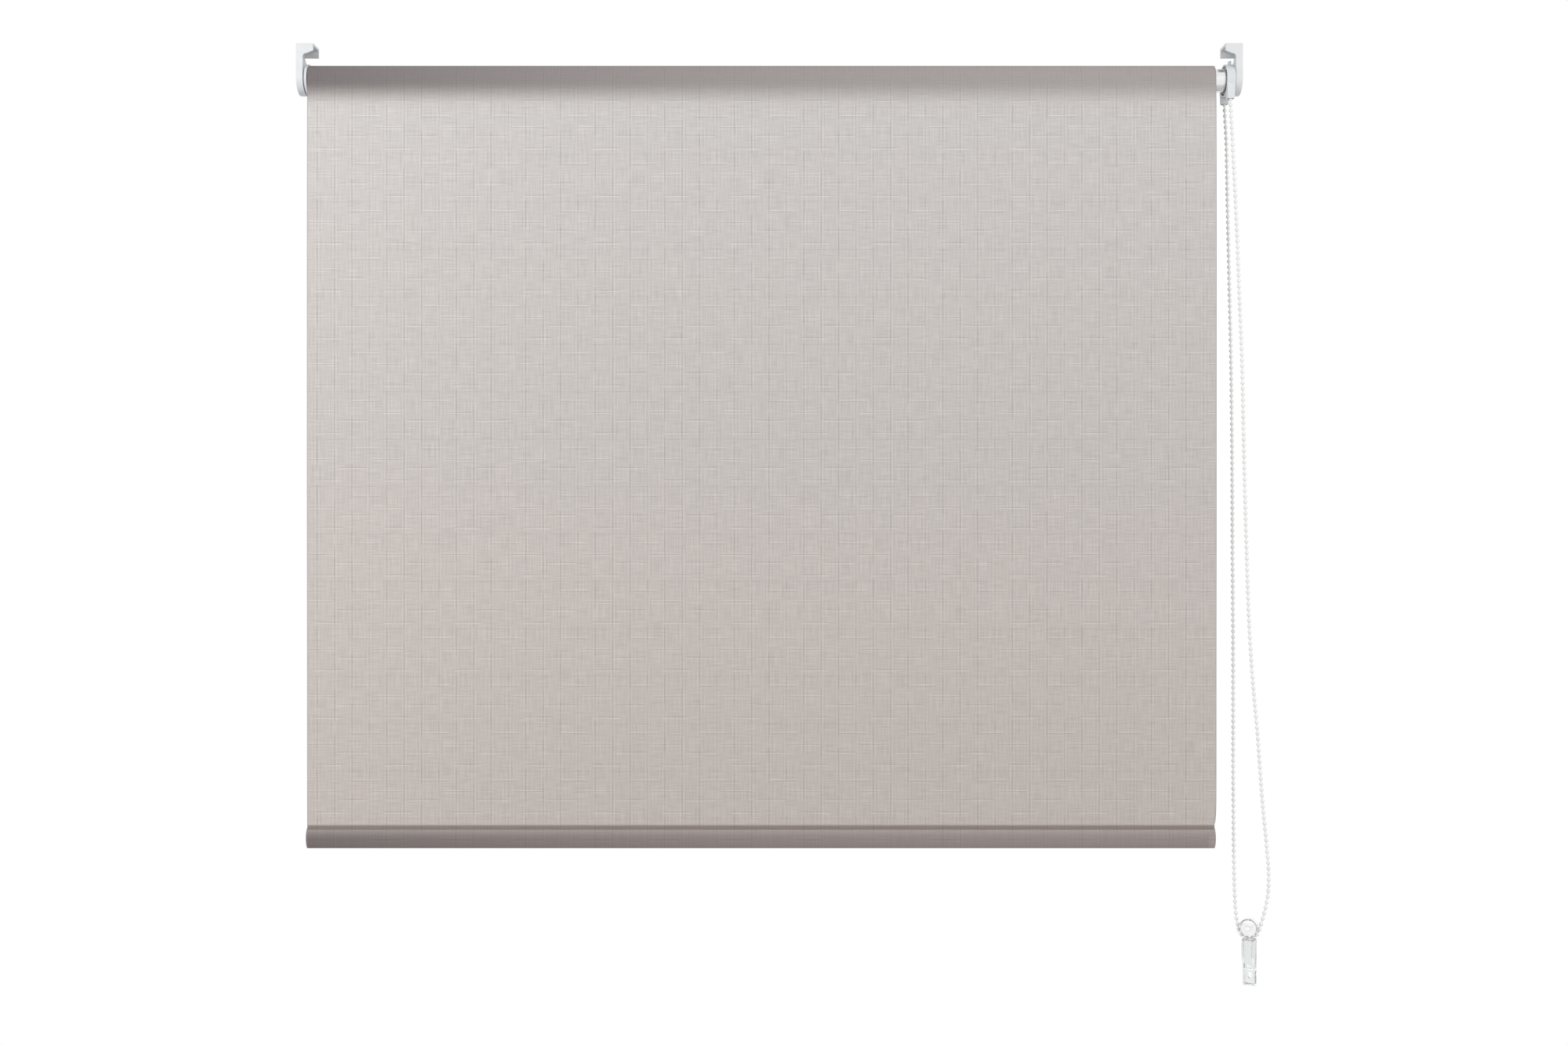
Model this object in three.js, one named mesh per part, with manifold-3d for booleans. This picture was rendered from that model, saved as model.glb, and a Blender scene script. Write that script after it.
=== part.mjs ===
// A chain-operated roller blind, 1 m wide, let down about 0.8 m.
//
// Millimetres, +Z up, +X to the right as seen from the room, +Y to the wall.
// Pieces are worked out about the roller's axis: the axis is y = 0, z = 0, and x = 0 is the
// outer face of the left bracket. The finished group is then moved so that its origin is the
// middle of the left bracket's hook seat, the flat underside that rests on what carries it.

import * as THREE from "three";
import { mergeVertices } from "three/addons/utils/BufferGeometryUtils.js";
import Module from "manifold-3d";

const wasm = await Module();
wasm.setup();

// Fits
const seatGap = 0.3; // between pieces that seat on each other
const cutOverrun = 1; // how far a cutting solid runs past the wall it cuts
const weldTolerance = 0.001; // corners closer than this are one corner
const roundSegments = 36; // facets of a full round piece
const smallSegments = 20; // facets of pins, washers and other small round pieces
const ovalSegments = 14; // facets of half of the hem's oval
const bendSegments = 6; // facets of a short bend in an outline

// Overall
const fabricWidth = 960;
const fabricInset = 12; // left bracket's outer face to the fabric's left edge
const fabricOutset = 28; // fabric's right edge to the right bracket's outer face
const dropLength = 789; // roller axis to the lower edge of the hanging fabric

// Roller tube and the fabric wound on it
const tubeRadius = 12.5;
const tubeWall = 0.8;
const tubeInset = 16; // right bracket's outer face to the tube's end
const fabricThickness = 0.34;
const turnPitch = 0.38; // growth of the roll's radius in one turn
const woundTurns = 7;
const stepsPerTurn = 30;
const wrapGap = 0.15; // tube to the first turn

// Brackets: an arm beside the roller under a hook that goes over a rail or a frame's edge
const armDepth = 32;
const armThickness = 3;
const armBackTop = 20; // height of the arm's full depth above the roller axis
const rimWidth = 7;
const rimThickness = 2.2;
const rimBackTop = 12;
const hookTop = 36; // above the roller axis
const hookThickness = 2.5;
const hookLength = 18;
const hookDepth = 24;
const lipDrop = 7.5; // back lip below the hook seat
const apronHeight = 10.5; // front apron beside the rim
const apronEndHeight = 7.5; // front apron at its free end
const gussetReach = 4; // rounded corner between apron and rim
const bossRadius = 7;
const bossLength = 4.6;
const bossRibReach = 12.5;
const bossRibThickness = 1.4;
const bossRibDepth = 2;
const bossRibCount = 6;

// Idle end: a plug in the tube with a sprung pin that sits in the left bracket
const flangeRadius = 17;
const flangeThickness = 2.5;
const flangeInset = 8.5; // left bracket's outer face to the flange
const plugLength = 36;
const plugRadius = 10.2;
const plugRibCount = 6;
const plugRibThickness = 1.6;
const plugBoreRadius = 4.2;
const pinRadius = 2.5;
const pinInset = 1.5; // left bracket's outer face to the pin's tip
const pinLength = 28;
const pinCollarRadius = 3.8;
const pinCollarThickness = 2;
const plugCapLength = 4;
const plugCapBore = 3;
const idleWireRadius = 0.4;
const idleCoilTurns = 7;
const idleCoilSteps = 8;
const springSides = 5;

// Bead chain
const beadRadius = 2.25;
const beadPitch = 6;
const linkRadius = 0.8;
const chainSides = 8;
const wheelBeads = 11; // beads between the spouts' upper ends, counted over the wheel
const strandStep = 26; // between the sections of the loop's long strands
const bendStep = 3; // between the sections of the loop round the pulley
const routeDivisions = 1200;
const tangentShare = 0.01; // of a bead's radius, for the middle line's direction

// Winder in the right bracket
const pocketCount = 13;
const pocketClearance = 0.3;
const wheelRimHeight = 1; // wheel's rim outside the chain's middle line
const wheelThickness = 5.8;
const wheelInset = 9.4; // right bracket's outer face to the wheel's back
const neckRadius = 7.2;
const neckLength = 3.6;
const dogSlotWidth = 4;
const guardRadius = 17;
const guardWall = 1.4;
const guardDepth = 9;
const guardInset = 7.5; // right bracket's outer face to the guard's back
const spoutTopWidth = 8.4;
const spoutTopDepth = 8.6;
const spoutFootWidth = 7.2;
const spoutFootDepth = 7.2;
const spoutTop = 6; // below the roller axis
const spoutFoot = 22; // below the roller axis
const spoutPassage = 5.8;
const tabWidth = 2.6;
const tabDepth = 5;
const tabHeight = 3.6;
const baseDiscThickness = 1.6;
const baseCollarRadius = 8;
const spigotWidth = 10;
const spigotProud = 0.4; // the spigot's end stays inside the bracket's outer face by this
const spindleRadius = 4.5;
const spindleLength = 41;
const crownLength = 33;
const crownBoreRadius = 7.6;
const crownShoulder = 2.6;
const wrapWireRadius = 0.45;
const wrapCoilTurns = 5;
const wrapCoilSteps = 10;
const wrapCoilPitch = 2.2;
const wrapCoilGap = 2;
const wrapClearance = 0.4; // spring to spindle, with the brake let go
const washerRadius = 6.9;
const washerThickness = 1;
const screwHeadRadius = 3.5;
const screwHeadThickness = 2.4;
const screwRadius = 1.5;
const screwLength = 12;
const driverSlotWidth = 1;

// Hem: the fabric is welded into a pocket round an oval bar
const hemFlangeHeight = 3.4;
const hemPocketHeight = 20.8;
const hemPocketDepth = 8;
const hemShortfall = 2; // the hem pocket ends this far before the hanging fabric's edge
const barHeight = 18.4;
const barDepth = 6.2;
const barWall = 1.1;
const barEndInset = 5; // pocket's end to the bar's end

// Chain tensioner, hanging in the chain's lower bend
const pulleyShift = 22.8; // right of the chain's place on the wheel
const pulleyDrop = 902; // below the roller axis
const pulleyTurnShare = 28 / 180; // turn about the vertical, as a share of half a turn
const loopBeads = 11; // beads that would go once round the pulley
const pulleyHalfWidth = 3.2;
const pulleyFlangeRadius = 9.8;
const grooveSteps = 6;
const pulleySegments = 24;
const axleRadius = 2.3;
const axleHeadRadius = 3.6;
const axleHeadThickness = 1;
const cheekRadius = 11.8;
const cheekTop = 3;
const cheekThickness = 1.4;
const stemWidth = 9;
const stemFoot = 44; // below the pulley's axle
const stemRecessMargin = 1.5;
const shellWall = 1.6;
const shellBackThickness = 2;
const shellTop = 12.4; // below the pulley's axle
const shellFoot = 61.8; // below the pulley's axle
const shellTopDepth = 13.8; // side walls in front of the back plate's rear face
const shellFootDepth = 8;
const shellBulge = 1.2;
const guideLipReach = 1;
const guideLipLength = 18;
const ledgeThickness = 1.5;
const screwSlotWidth = 3.6;
const screwSlotLength = 7;
const screwSlotDrop = 51.5; // below the pulley's axle

// Middle lines of the hanging strands: [right of the chain's place on the wheel, behind the
// roller axis, above the roller axis]
const backStrand = [
  [2.1, 12, -62],
  [3.2, 11.4, -130],
  [4.8, 10.7, -208],
  [6.5, 9.9, -293],
  [7.5, 9.1, -393],
  [7.7, 8.3, -494],
  [8.1, 7.5, -578],
  [8.1, 6.8, -662],
  [8, 6.2, -737],
  [8.3, 5.6, -812],
  [9, 5.1, -863],
  [10.9, 4.9, -892],
];
const frontStrand = [
  [37.7, -4.9, -886],
  [41.7, -5.1, -866],
  [42.5, -5.3, -843],
  [39.9, -5.6, -810],
  [35.5, -6, -764],
  [29.9, -6.6, -690],
  [25.3, -7, -640],
  [21.3, -7.5, -580],
  [18.2, -8.2, -498],
  [15.5, -9, -403],
  [12.7, -10, -290],
  [10.1, -10.5, -232],
  [7.5, -11, -166],
  [5.1, -11.5, -117],
  [2.5, -11.9, -68],
];

// Worked out from the sizes above
const overallWidth = fabricInset + fabricWidth + fabricOutset; // over the brackets' outer faces
const hemLength = fabricWidth - hemShortfall;
const pitchRadius = (beadPitch * pocketCount) / (2 * Math.PI);
const loopRadius = (beadPitch * loopBeads) / (2 * Math.PI);
const pocketRadius = beadRadius + pocketClearance;
const wheelBack = overallWidth - wheelInset;
const wheelFront = wheelBack - wheelThickness;
const chainX = (wheelFront + wheelBack) / 2;
const pulleyX = chainX + pulleyShift;
const guardBack = overallWidth - guardInset;
const guardFront = guardBack - guardDepth;
const guardBore = guardRadius - guardWall;
const tubeEnd = overallWidth - tubeInset;
const tubeStart = flangeInset + flangeThickness + seatGap;
const tubeBore = tubeRadius - tubeWall;
const rollBore = tubeRadius + wrapGap;
const dropBack = rollBore + turnPitch * woundTurns; // distance in front of the roller axis
const dropFront = dropBack + fabricThickness;
const dropMiddle = (dropBack + dropFront) / 2;
const armFront = -armDepth / 2;
const hookBack = armFront + hookDepth;
const hookSeat = hookTop - hookThickness;
const bossFace = armThickness + bossLength;
const plugStart = flangeInset;
const plugEnd = plugStart + flangeThickness + plugLength;
const pinEnd = pinInset + pinLength;
const pinCollarStart = plugStart + flangeThickness + 2 * seatGap;
const spindleStart = guardBack - baseDiscThickness - spindleLength;
const pulleyTurn = pulleyTurnShare * Math.PI;
const wheelQuarter = (Math.PI / 2) * pitchRadius; // chain from the wheel's top to its side
const chainStart = (wheelBeads / 2) * beadPitch - wheelQuarter; // below the axis, between two beads

const X = new THREE.Vector3(1, 0, 0);
const Y = new THREE.Vector3(0, 1, 0);
const Z = new THREE.Vector3(0, 0, 1);

const pulleyAxis = new THREE.Vector3(Math.sin(pulleyTurn), Math.cos(pulleyTurn), 0);
const clampShare = (share) => Math.min(Math.max(share, 0), 1);

// Finishes
const whitePlastic = new THREE.MeshStandardMaterial({ color: 0xf1f1ee, roughness: 0.42 });
const greyPlastic = new THREE.MeshStandardMaterial({ color: 0xd9dad8, roughness: 0.5 });
const polishedTube = new THREE.MeshStandardMaterial({ color: 0xd4d7db, roughness: 0.22, metalness: 1 });
const springSteel = new THREE.MeshStandardMaterial({ color: 0x8d9196, roughness: 0.35, metalness: 1 });
const barAluminium = new THREE.MeshStandardMaterial({ color: 0xb9bcc0, roughness: 0.4, metalness: 1 });
const greigeFabric = new THREE.MeshStandardMaterial({ color: 0xc8bdb4, roughness: 0.85 });
const chainPlastic = new THREE.MeshStandardMaterial({ color: 0xf4f4f2, roughness: 0.35 });
const clearPlastic = new THREE.MeshStandardMaterial({
  color: 0xdfe6e8,
  roughness: 0.1,
  transparent: true,
  opacity: 0.4,
});

// A closed solid from a geometry, with its faces turned outwards.
function solid(geometry) {
  const bare = geometry.clone();
  bare.deleteAttribute("normal");
  bare.deleteAttribute("uv");
  const merged = mergeVertices(bare, weldTolerance);
  const corners = merged.index.array;
  const kept = [];
  for (let i = 0; i < corners.length; i += 3) {
    const [a, b, c] = [corners[i], corners[i + 1], corners[i + 2]];
    if (a !== b && b !== c && c !== a) kept.push(a, b, c);
  }
  const build = (triangles) =>
    new wasm.Manifold(
      new wasm.Mesh({
        numProp: 3,
        vertProperties: merged.attributes.position.array,
        triVerts: new Uint32Array(triangles),
      }),
    );
  const made = build(kept);
  return made.volume() < 0 ? build(kept.reverse()) : made;
}

function geometryOf(body) {
  const { vertProperties, triVerts } = body.getMesh();
  const geometry = new THREE.BufferGeometry();
  geometry.setAttribute("position", new THREE.BufferAttribute(vertProperties, 3));
  geometry.setIndex(new THREE.BufferAttribute(triVerts, 1));
  const flat = geometry.toNonIndexed();
  flat.computeVertexNormals();
  return flat;
}

function joined(bodies) {
  return bodies.reduce((all, body) => all.add(body));
}

function cutFrom(body, cutters) {
  return cutters.reduce((left, cutter) => left.subtract(cutter), body);
}

function piece(name, body, material) {
  const mesh = new THREE.Mesh(geometryOf(body), material);
  mesh.name = name;
  return mesh;
}

// A box between two corners.
function block([x0, y0, z0], [x1, y1, z1]) {
  const geometry = new THREE.BoxGeometry(x1 - x0, y1 - y0, z1 - z0);
  geometry.translate((x0 + x1) / 2, (y0 + y1) / 2, (z0 + z1) / 2);
  return solid(geometry);
}

// A profile in the plane of Y and Z, drawn out along X.
function alongX(shape, from, to, curveSegments = roundSegments / 2) {
  const geometry = new THREE.ExtrudeGeometry(shape, {
    depth: to - from,
    bevelEnabled: false,
    curveSegments,
  });
  geometry.applyMatrix4(new THREE.Matrix4().makeBasis(Y, Z, X));
  geometry.translate(from, 0, 0);
  return solid(geometry);
}

// A profile in the plane of X and Z, drawn out along Y.
function alongY(shape, from, to, curveSegments = roundSegments / 2) {
  const geometry = new THREE.ExtrudeGeometry(shape, {
    depth: to - from,
    bevelEnabled: false,
    curveSegments,
  });
  geometry.applyMatrix4(new THREE.Matrix4().makeBasis(X, Z, Y.clone().negate()));
  geometry.translate(0, to, 0);
  return solid(geometry);
}

// A round bar along X.
function rod(radius, from, to, segments = roundSegments) {
  const geometry = new THREE.CylinderGeometry(radius, radius, to - from, segments);
  geometry.rotateZ(-Math.PI / 2);
  geometry.translate((from + to) / 2, 0, 0);
  return solid(geometry);
}

// A closed profile of [radius, place] points turned about X, or about Y when told so.
function turned(points, axis = X, segments = roundSegments) {
  const profile = [...points, points[0]].map(([radius, at]) => new THREE.Vector2(radius, at));
  const geometry = new THREE.LatheGeometry(profile, segments);
  if (axis === X) geometry.rotateZ(-Math.PI / 2);
  return solid(geometry);
}

// A round tube along a curve.
function tubeAlong(curve, radius, sides, steps) {
  const section = new THREE.Shape();
  for (let i = 0; i < sides; i += 1) {
    const angle = (2 * Math.PI * i) / sides;
    const point = [radius * Math.cos(angle), radius * Math.sin(angle)];
    if (i === 0) section.moveTo(...point);
    else section.lineTo(...point);
  }
  section.closePath();
  return solid(
    new THREE.ExtrudeGeometry(section, { steps, extrudePath: curve, bevelEnabled: false }),
  );
}

// A coil spring about X.
function coil(radius, wireRadius, from, to, turns, stepsPerCoil) {
  const steps = turns * stepsPerCoil;
  const points = [];
  for (let i = 0; i <= steps; i += 1) {
    const angle = (2 * Math.PI * i) / stepsPerCoil;
    const along = from + wireRadius + ((to - from - 2 * wireRadius) * i) / steps;
    points.push(new THREE.Vector3(along, radius * Math.cos(angle), radius * Math.sin(angle)));
  }
  return tubeAlong(new THREE.CatmullRomCurve3(points), wireRadius, springSides, steps);
}

// Ribs round the X axis, each a plate that stands on a radius.
function radialRibs(count, thickness, innerRadius, outerRadius, from, to) {
  const ribs = [];
  for (let i = 0; i < count; i += 1) {
    const rib = new THREE.BoxGeometry(to - from, outerRadius - innerRadius, thickness);
    rib.translate((from + to) / 2, (innerRadius + outerRadius) / 2, 0);
    rib.rotateX((2 * Math.PI * i) / count);
    ribs.push(solid(rib));
  }
  return ribs;
}

// The bracket without its socket, as it stands on the left.
function bracketBlank() {
  const radius = armDepth / 2;
  const inner = radius - rimThickness;

  const arm = new THREE.Shape();
  arm.moveTo(armFront, hookTop);
  arm.lineTo(armFront, 0);
  arm.absarc(0, 0, radius, Math.PI, 2 * Math.PI, false);
  arm.lineTo(radius, armBackTop);
  arm.lineTo(hookBack, hookSeat - lipDrop);
  arm.lineTo(hookBack, hookTop);
  arm.closePath();

  const rim = new THREE.Shape();
  rim.moveTo(armFront, hookTop);
  rim.lineTo(armFront, 0);
  rim.absarc(0, 0, radius, Math.PI, 2 * Math.PI, false);
  rim.lineTo(radius, rimBackTop);
  rim.lineTo(inner, rimBackTop - rimThickness);
  rim.lineTo(inner, 0);
  rim.absarc(0, 0, inner, 2 * Math.PI, Math.PI, true);
  rim.lineTo(-inner, hookTop);
  rim.closePath();

  const apron = new THREE.Shape();
  apron.moveTo(0, hookTop);
  apron.lineTo(0, hookTop - apronHeight - gussetReach);
  apron.lineTo(rimWidth, hookTop - apronHeight - gussetReach);
  apron.quadraticCurveTo(
    rimWidth,
    hookTop - apronHeight,
    rimWidth + gussetReach,
    hookTop - apronHeight,
  );
  apron.lineTo(hookLength, hookTop - apronEndHeight);
  apron.lineTo(hookLength, hookTop);
  apron.closePath();

  return joined([
    alongX(arm, 0, armThickness),
    alongX(rim, 0, rimWidth),
    alongY(apron, armFront, armFront + hookThickness, bendSegments),
    block([0, armFront, hookSeat], [hookLength, hookBack, hookTop]),
    block([0, hookBack - hookThickness, hookSeat - lipDrop], [hookLength, hookBack, hookTop]),
  ]);
}

function leftBracket() {
  const socket = rod(pinRadius + seatGap, pinInset - seatGap, bossFace + cutOverrun);
  const boss = rod(bossRadius, armThickness / 2, bossFace);
  const ribs = radialRibs(
    bossRibCount,
    bossRibThickness,
    bossRadius / 2,
    bossRibReach,
    armThickness / 2,
    armThickness + bossRibDepth,
  );
  return joined([bracketBlank(), boss, ...ribs]).subtract(socket);
}

// The blank turned to its mirror image about the blind's middle, with the winder's square socket.
function rightBracket() {
  const blank = geometryOf(bracketBlank());
  blank.scale(-1, 1, 1);
  blank.translate(overallWidth, 0, 0);
  const half = spigotWidth / 2 + seatGap;
  const inside = overallWidth - armThickness;
  const collar = baseCollarRadius + bossRibDepth;
  const ring = turned([
    [collar, inside - bossRibDepth],
    [collar, inside + armThickness / 2],
    [baseCollarRadius + seatGap, inside + armThickness / 2],
    [baseCollarRadius + seatGap, inside - bossRibDepth],
  ]);
  const ribs = radialRibs(
    bossRibCount,
    bossRibThickness,
    (collar + baseCollarRadius) / 2 + seatGap,
    bossRibReach,
    inside - bossRibDepth,
    inside + armThickness / 2,
  );
  return cutFrom(joined([solid(blank), ring, ...ribs]), [
    block([inside - cutOverrun, -half, -half], [overallWidth + cutOverrun, half, half]),
  ]);
}

function idlePlug() {
  const barrelStart = plugStart + flangeThickness;
  const ribs = radialRibs(
    plugRibCount,
    plugRibThickness,
    plugBoreRadius + rimThickness,
    tubeBore - seatGap,
    barrelStart + seatGap,
    plugEnd - 2 * seatGap,
  );
  const body = joined([
    rod(flangeRadius, plugStart, barrelStart),
    rod(plugRadius, plugStart + flangeThickness / 2, plugEnd),
    ...ribs,
  ]);
  return cutFrom(body, [
    rod(pinRadius + seatGap, plugStart - cutOverrun, plugEnd + cutOverrun),
    rod(plugBoreRadius, pinCollarStart - seatGap, plugEnd + cutOverrun),
  ]);
}

function idlePin() {
  return joined([
    rod(pinRadius, pinInset, pinEnd, smallSegments),
    rod(
      pinCollarRadius,
      pinCollarStart,
      pinCollarStart + pinCollarThickness,
      smallSegments,
    ),
  ]);
}

function plugCap() {
  return turned(
    [
      [plugBoreRadius - seatGap, plugEnd - plugCapLength],
      [plugBoreRadius - seatGap, plugEnd],
      [plugCapBore, plugEnd],
      [plugCapBore, plugEnd - plugCapLength],
    ],
    X,
    smallSegments,
  );
}

function idleSpring() {
  return coil(
    (pinRadius + plugBoreRadius) / 2,
    idleWireRadius,
    pinCollarStart + pinCollarThickness + seatGap,
    plugEnd - plugCapLength - seatGap,
    idleCoilTurns,
    idleCoilSteps,
  );
}

function rollerTube() {
  return turned([
    [tubeRadius, tubeStart],
    [tubeRadius, tubeEnd],
    [tubeBore, tubeEnd],
    [tubeBore, tubeStart],
  ]);
}

// The wound fabric: one sheet in a true spiral that ends at the front, where the drop leaves it.
function fabricRoll() {
  const steps = woundTurns * stepsPerTurn;
  const points = [];
  for (const [first, last, offset] of [
    [0, steps, 0],
    [steps, 0, fabricThickness],
  ]) {
    const stride = first < last ? 1 : -1;
    for (let i = first; i !== last + stride; i += stride) {
      const angle = Math.PI + (2 * Math.PI * (steps - i)) / stepsPerTurn;
      const radius = rollBore + (turnPitch * i) / stepsPerTurn + offset;
      points.push(new THREE.Vector2(radius * Math.cos(angle), radius * Math.sin(-angle)));
    }
  }
  return alongX(new THREE.Shape(points), fabricInset, fabricInset + fabricWidth);
}

function fabricDrop() {
  return block(
    [fabricInset, -dropFront, -dropLength],
    [fabricInset + fabricWidth, -dropBack, -seatGap],
  );
}

// The pocket's oval at a distance inside its outside, and the height of its top.
function pocketOutline(inset) {
  const top = -dropLength - seatGap - hemFlangeHeight;
  const middle = top - hemPocketHeight / 2;
  const halfDepth = hemPocketDepth / 2 - inset;
  const halfHeight = hemPocketHeight / 2 - inset;
  return { top, middle, halfDepth, halfHeight };
}

// An oval about a place in the plane of Y and Z.
function oval(path, y, z, halfDepth, halfHeight) {
  path.absellipse(y, z, halfDepth, halfHeight, 0, 2 * Math.PI, false, 0);
  return path;
}

function hemPocket() {
  const outer = pocketOutline(0);
  const inner = pocketOutline(fabricThickness);
  const from = fabricInset;
  const to = fabricInset + hemLength;
  const ring = alongX(
    oval(new THREE.Shape(), -dropMiddle, outer.middle, outer.halfDepth, outer.halfHeight),
    from,
    to,
    ovalSegments,
  );
  const flange = block(
    [from, -dropMiddle - fabricThickness, outer.top - fabricThickness],
    [to, -dropMiddle + fabricThickness, outer.top + hemFlangeHeight],
  );
  const hollow = alongX(
    oval(new THREE.Shape(), -dropMiddle, inner.middle, inner.halfDepth, inner.halfHeight),
    from - cutOverrun,
    to + cutOverrun,
    ovalSegments,
  );
  return ring.add(flange).subtract(hollow);
}

function bottomBar() {
  const { middle } = pocketOutline(0);
  const shape = oval(new THREE.Shape(), -dropMiddle, middle, barDepth / 2, barHeight / 2);
  shape.holes.push(
    oval(new THREE.Path(), -dropMiddle, middle, barDepth / 2 - barWall, barHeight / 2 - barWall),
  );
  const from = fabricInset + barEndInset;
  return alongX(shape, from, fabricInset + hemLength - barEndInset, ovalSegments);
}

// One moulding: the disc that closes the guard, the spindle and the square spigot.
function winderBase() {
  const disc = guardBack - baseDiscThickness;
  const collarEnd = overallWidth - armThickness - seatGap;
  const half = spigotWidth / 2;
  const body = joined([
    rod(guardBore - seatGap, disc, guardBack),
    rod(baseCollarRadius, disc + baseDiscThickness / 2, collarEnd),
    rod(spindleRadius, spindleStart, guardBack, smallSegments),
    block([guardBack, -half, -half], [overallWidth - spigotProud, half, half]),
  ]);
  const pilot = rod(
    screwRadius + seatGap,
    spindleStart - cutOverrun,
    spindleStart + screwLength + seatGap,
    smallSegments,
  );
  return body.subtract(pilot);
}

// A four-sided spout that narrows downwards, round the strand at the given side.
function spout(side) {
  const geometry = new THREE.BoxGeometry(1, 1, spoutFoot - spoutTop);
  const places = geometry.attributes.position;
  for (let i = 0; i < places.count; i += 1) {
    const upper = places.getZ(i) > 0;
    const width = upper ? spoutTopWidth : spoutFootWidth;
    const depth = upper ? spoutTopDepth : spoutFootDepth;
    places.setX(i, places.getX(i) * width);
    places.setY(i, places.getY(i) * depth);
  }
  geometry.translate(chainX, side * pitchRadius, -(spoutTop + spoutFoot) / 2);
  return solid(geometry);
}

// The drum round the chain wheel, with a spout for each strand and the release tab on top.
function chainGuard() {
  const shell = rod(guardRadius, guardFront, guardBack);
  const cavity = rod(guardBore, guardFront - cutOverrun, guardBack + cutOverrun);
  const half = spoutPassage / 2;
  const passages = [-1, 1].map((side) =>
    block(
      [chainX - half, side * pitchRadius - half, -spoutFoot - cutOverrun],
      [chainX + half, side * pitchRadius + half, 0],
    ),
  );
  const tabBack = guardBack - tabWidth / 2;
  const tab = block(
    [tabBack - tabWidth, -tabDepth / 2, guardRadius - guardWall],
    [tabBack, tabDepth / 2, guardRadius + tabHeight],
  );
  return cutFrom(joined([shell, spout(-1), spout(1), tab]), [cavity, ...passages]);
}

function chainWheel() {
  const rim = pitchRadius + wheelRimHeight;
  const bore = spindleRadius + seatGap;
  const neckStart = wheelFront - neckLength;
  const blank = turned([
    [rim, wheelFront],
    [rim, wheelBack],
    [bore, wheelBack],
    [bore, neckStart],
    [neckRadius, neckStart],
    [neckRadius, wheelFront],
  ]);
  const grooveHalf = linkRadius + pocketClearance;
  const groove = turned([
    [rim + cutOverrun, chainX - grooveHalf],
    [rim + cutOverrun, chainX + grooveHalf],
    [pitchRadius - grooveHalf, chainX + grooveHalf],
    [pitchRadius - grooveHalf, chainX - grooveHalf],
  ]);
  const pockets = [];
  for (let i = 0; i < pocketCount; i += 1) {
    const angle = Math.PI / 2 + (2 * Math.PI * i) / pocketCount;
    const pocket = new THREE.SphereGeometry(pocketRadius, 8, 6);
    pocket.rotateZ(Math.PI / 2);
    pocket.translate(chainX, pitchRadius * Math.cos(angle), pitchRadius * Math.sin(angle));
    pockets.push(solid(pocket));
  }
  const dogSlot = block(
    [neckStart - cutOverrun, -neckRadius - cutOverrun, -dogSlotWidth / 2],
    [wheelFront - seatGap, neckRadius + cutOverrun, dogSlotWidth / 2],
  );
  return cutFrom(blank, [groove, ...pockets, dogSlot]);
}

// The adaptor that fills the tube's end and is turned by the wheel through the wrap springs.
function driveCrown() {
  const from = spindleStart + seatGap;
  const to = from + crownLength;
  const ribs = radialRibs(
    plugRibCount,
    plugRibThickness,
    crownBoreRadius + seatGap,
    tubeBore - seatGap,
    from + 2 * seatGap,
    to - 2 * seatGap,
  );
  return cutFrom(joined([rod(plugRadius, from, to), ...ribs]), [
    rod(spindleRadius + seatGap, from - cutOverrun, to + cutOverrun),
    rod(crownBoreRadius, from + crownShoulder, to + cutOverrun),
  ]);
}

// One of the two brake springs that grip the spindle, counted from the tube's inside.
function wrapSpring(index) {
  const length = wrapCoilTurns * wrapCoilPitch + 2 * wrapWireRadius;
  const from = spindleStart + crownShoulder + 3 * seatGap + index * (length + wrapCoilGap);
  const radius = spindleRadius + wrapWireRadius + wrapClearance;
  return coil(radius, wrapWireRadius, from, from + length, wrapCoilTurns, wrapCoilSteps);
}

function retainingWasher() {
  const to = spindleStart - seatGap;
  return turned(
    [
      [washerRadius, to - washerThickness],
      [washerRadius, to],
      [screwRadius + seatGap, to],
      [screwRadius + seatGap, to - washerThickness],
    ],
    X,
    smallSegments,
  );
}

function retainingScrew() {
  const seat = spindleStart - washerThickness - 2 * seatGap;
  const head = rod(screwHeadRadius, seat - screwHeadThickness, seat, smallSegments);
  const shank = rod(
    screwRadius,
    seat - screwHeadThickness / 2,
    seat + screwLength,
    smallSegments,
  );
  const half = driverSlotWidth / 2;
  const reach = screwHeadRadius + cutOverrun;
  const slot = block(
    [seat - screwHeadThickness - cutOverrun, -reach, -half],
    [seat - screwHeadThickness / 2, reach, half],
  );
  return head.add(shank).subtract(slot);
}

// Half of a bead's length and radius, from its one end to its other.
const beadOutlineShares = [
  [-0.93, 0.36],
  [-0.6, 0.8],
  [0, 1],
  [0.6, 0.8],
  [0.93, 0.36],
];

// Places along a bead chain whose beads stand at whole pitches: each with its chain radius.
function beadStations(from, to) {
  const stations = [];
  for (let bead = Math.ceil(from / beadPitch); bead * beadPitch <= to; bead += 1) {
    for (const [along, share] of beadOutlineShares) {
      const at = bead * beadPitch + along * beadRadius;
      if (at > from && at < to) stations.push([at, share * beadRadius]);
    }
  }
  return [[from, linkRadius], ...stations, [to, linkRadius]];
}

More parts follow.
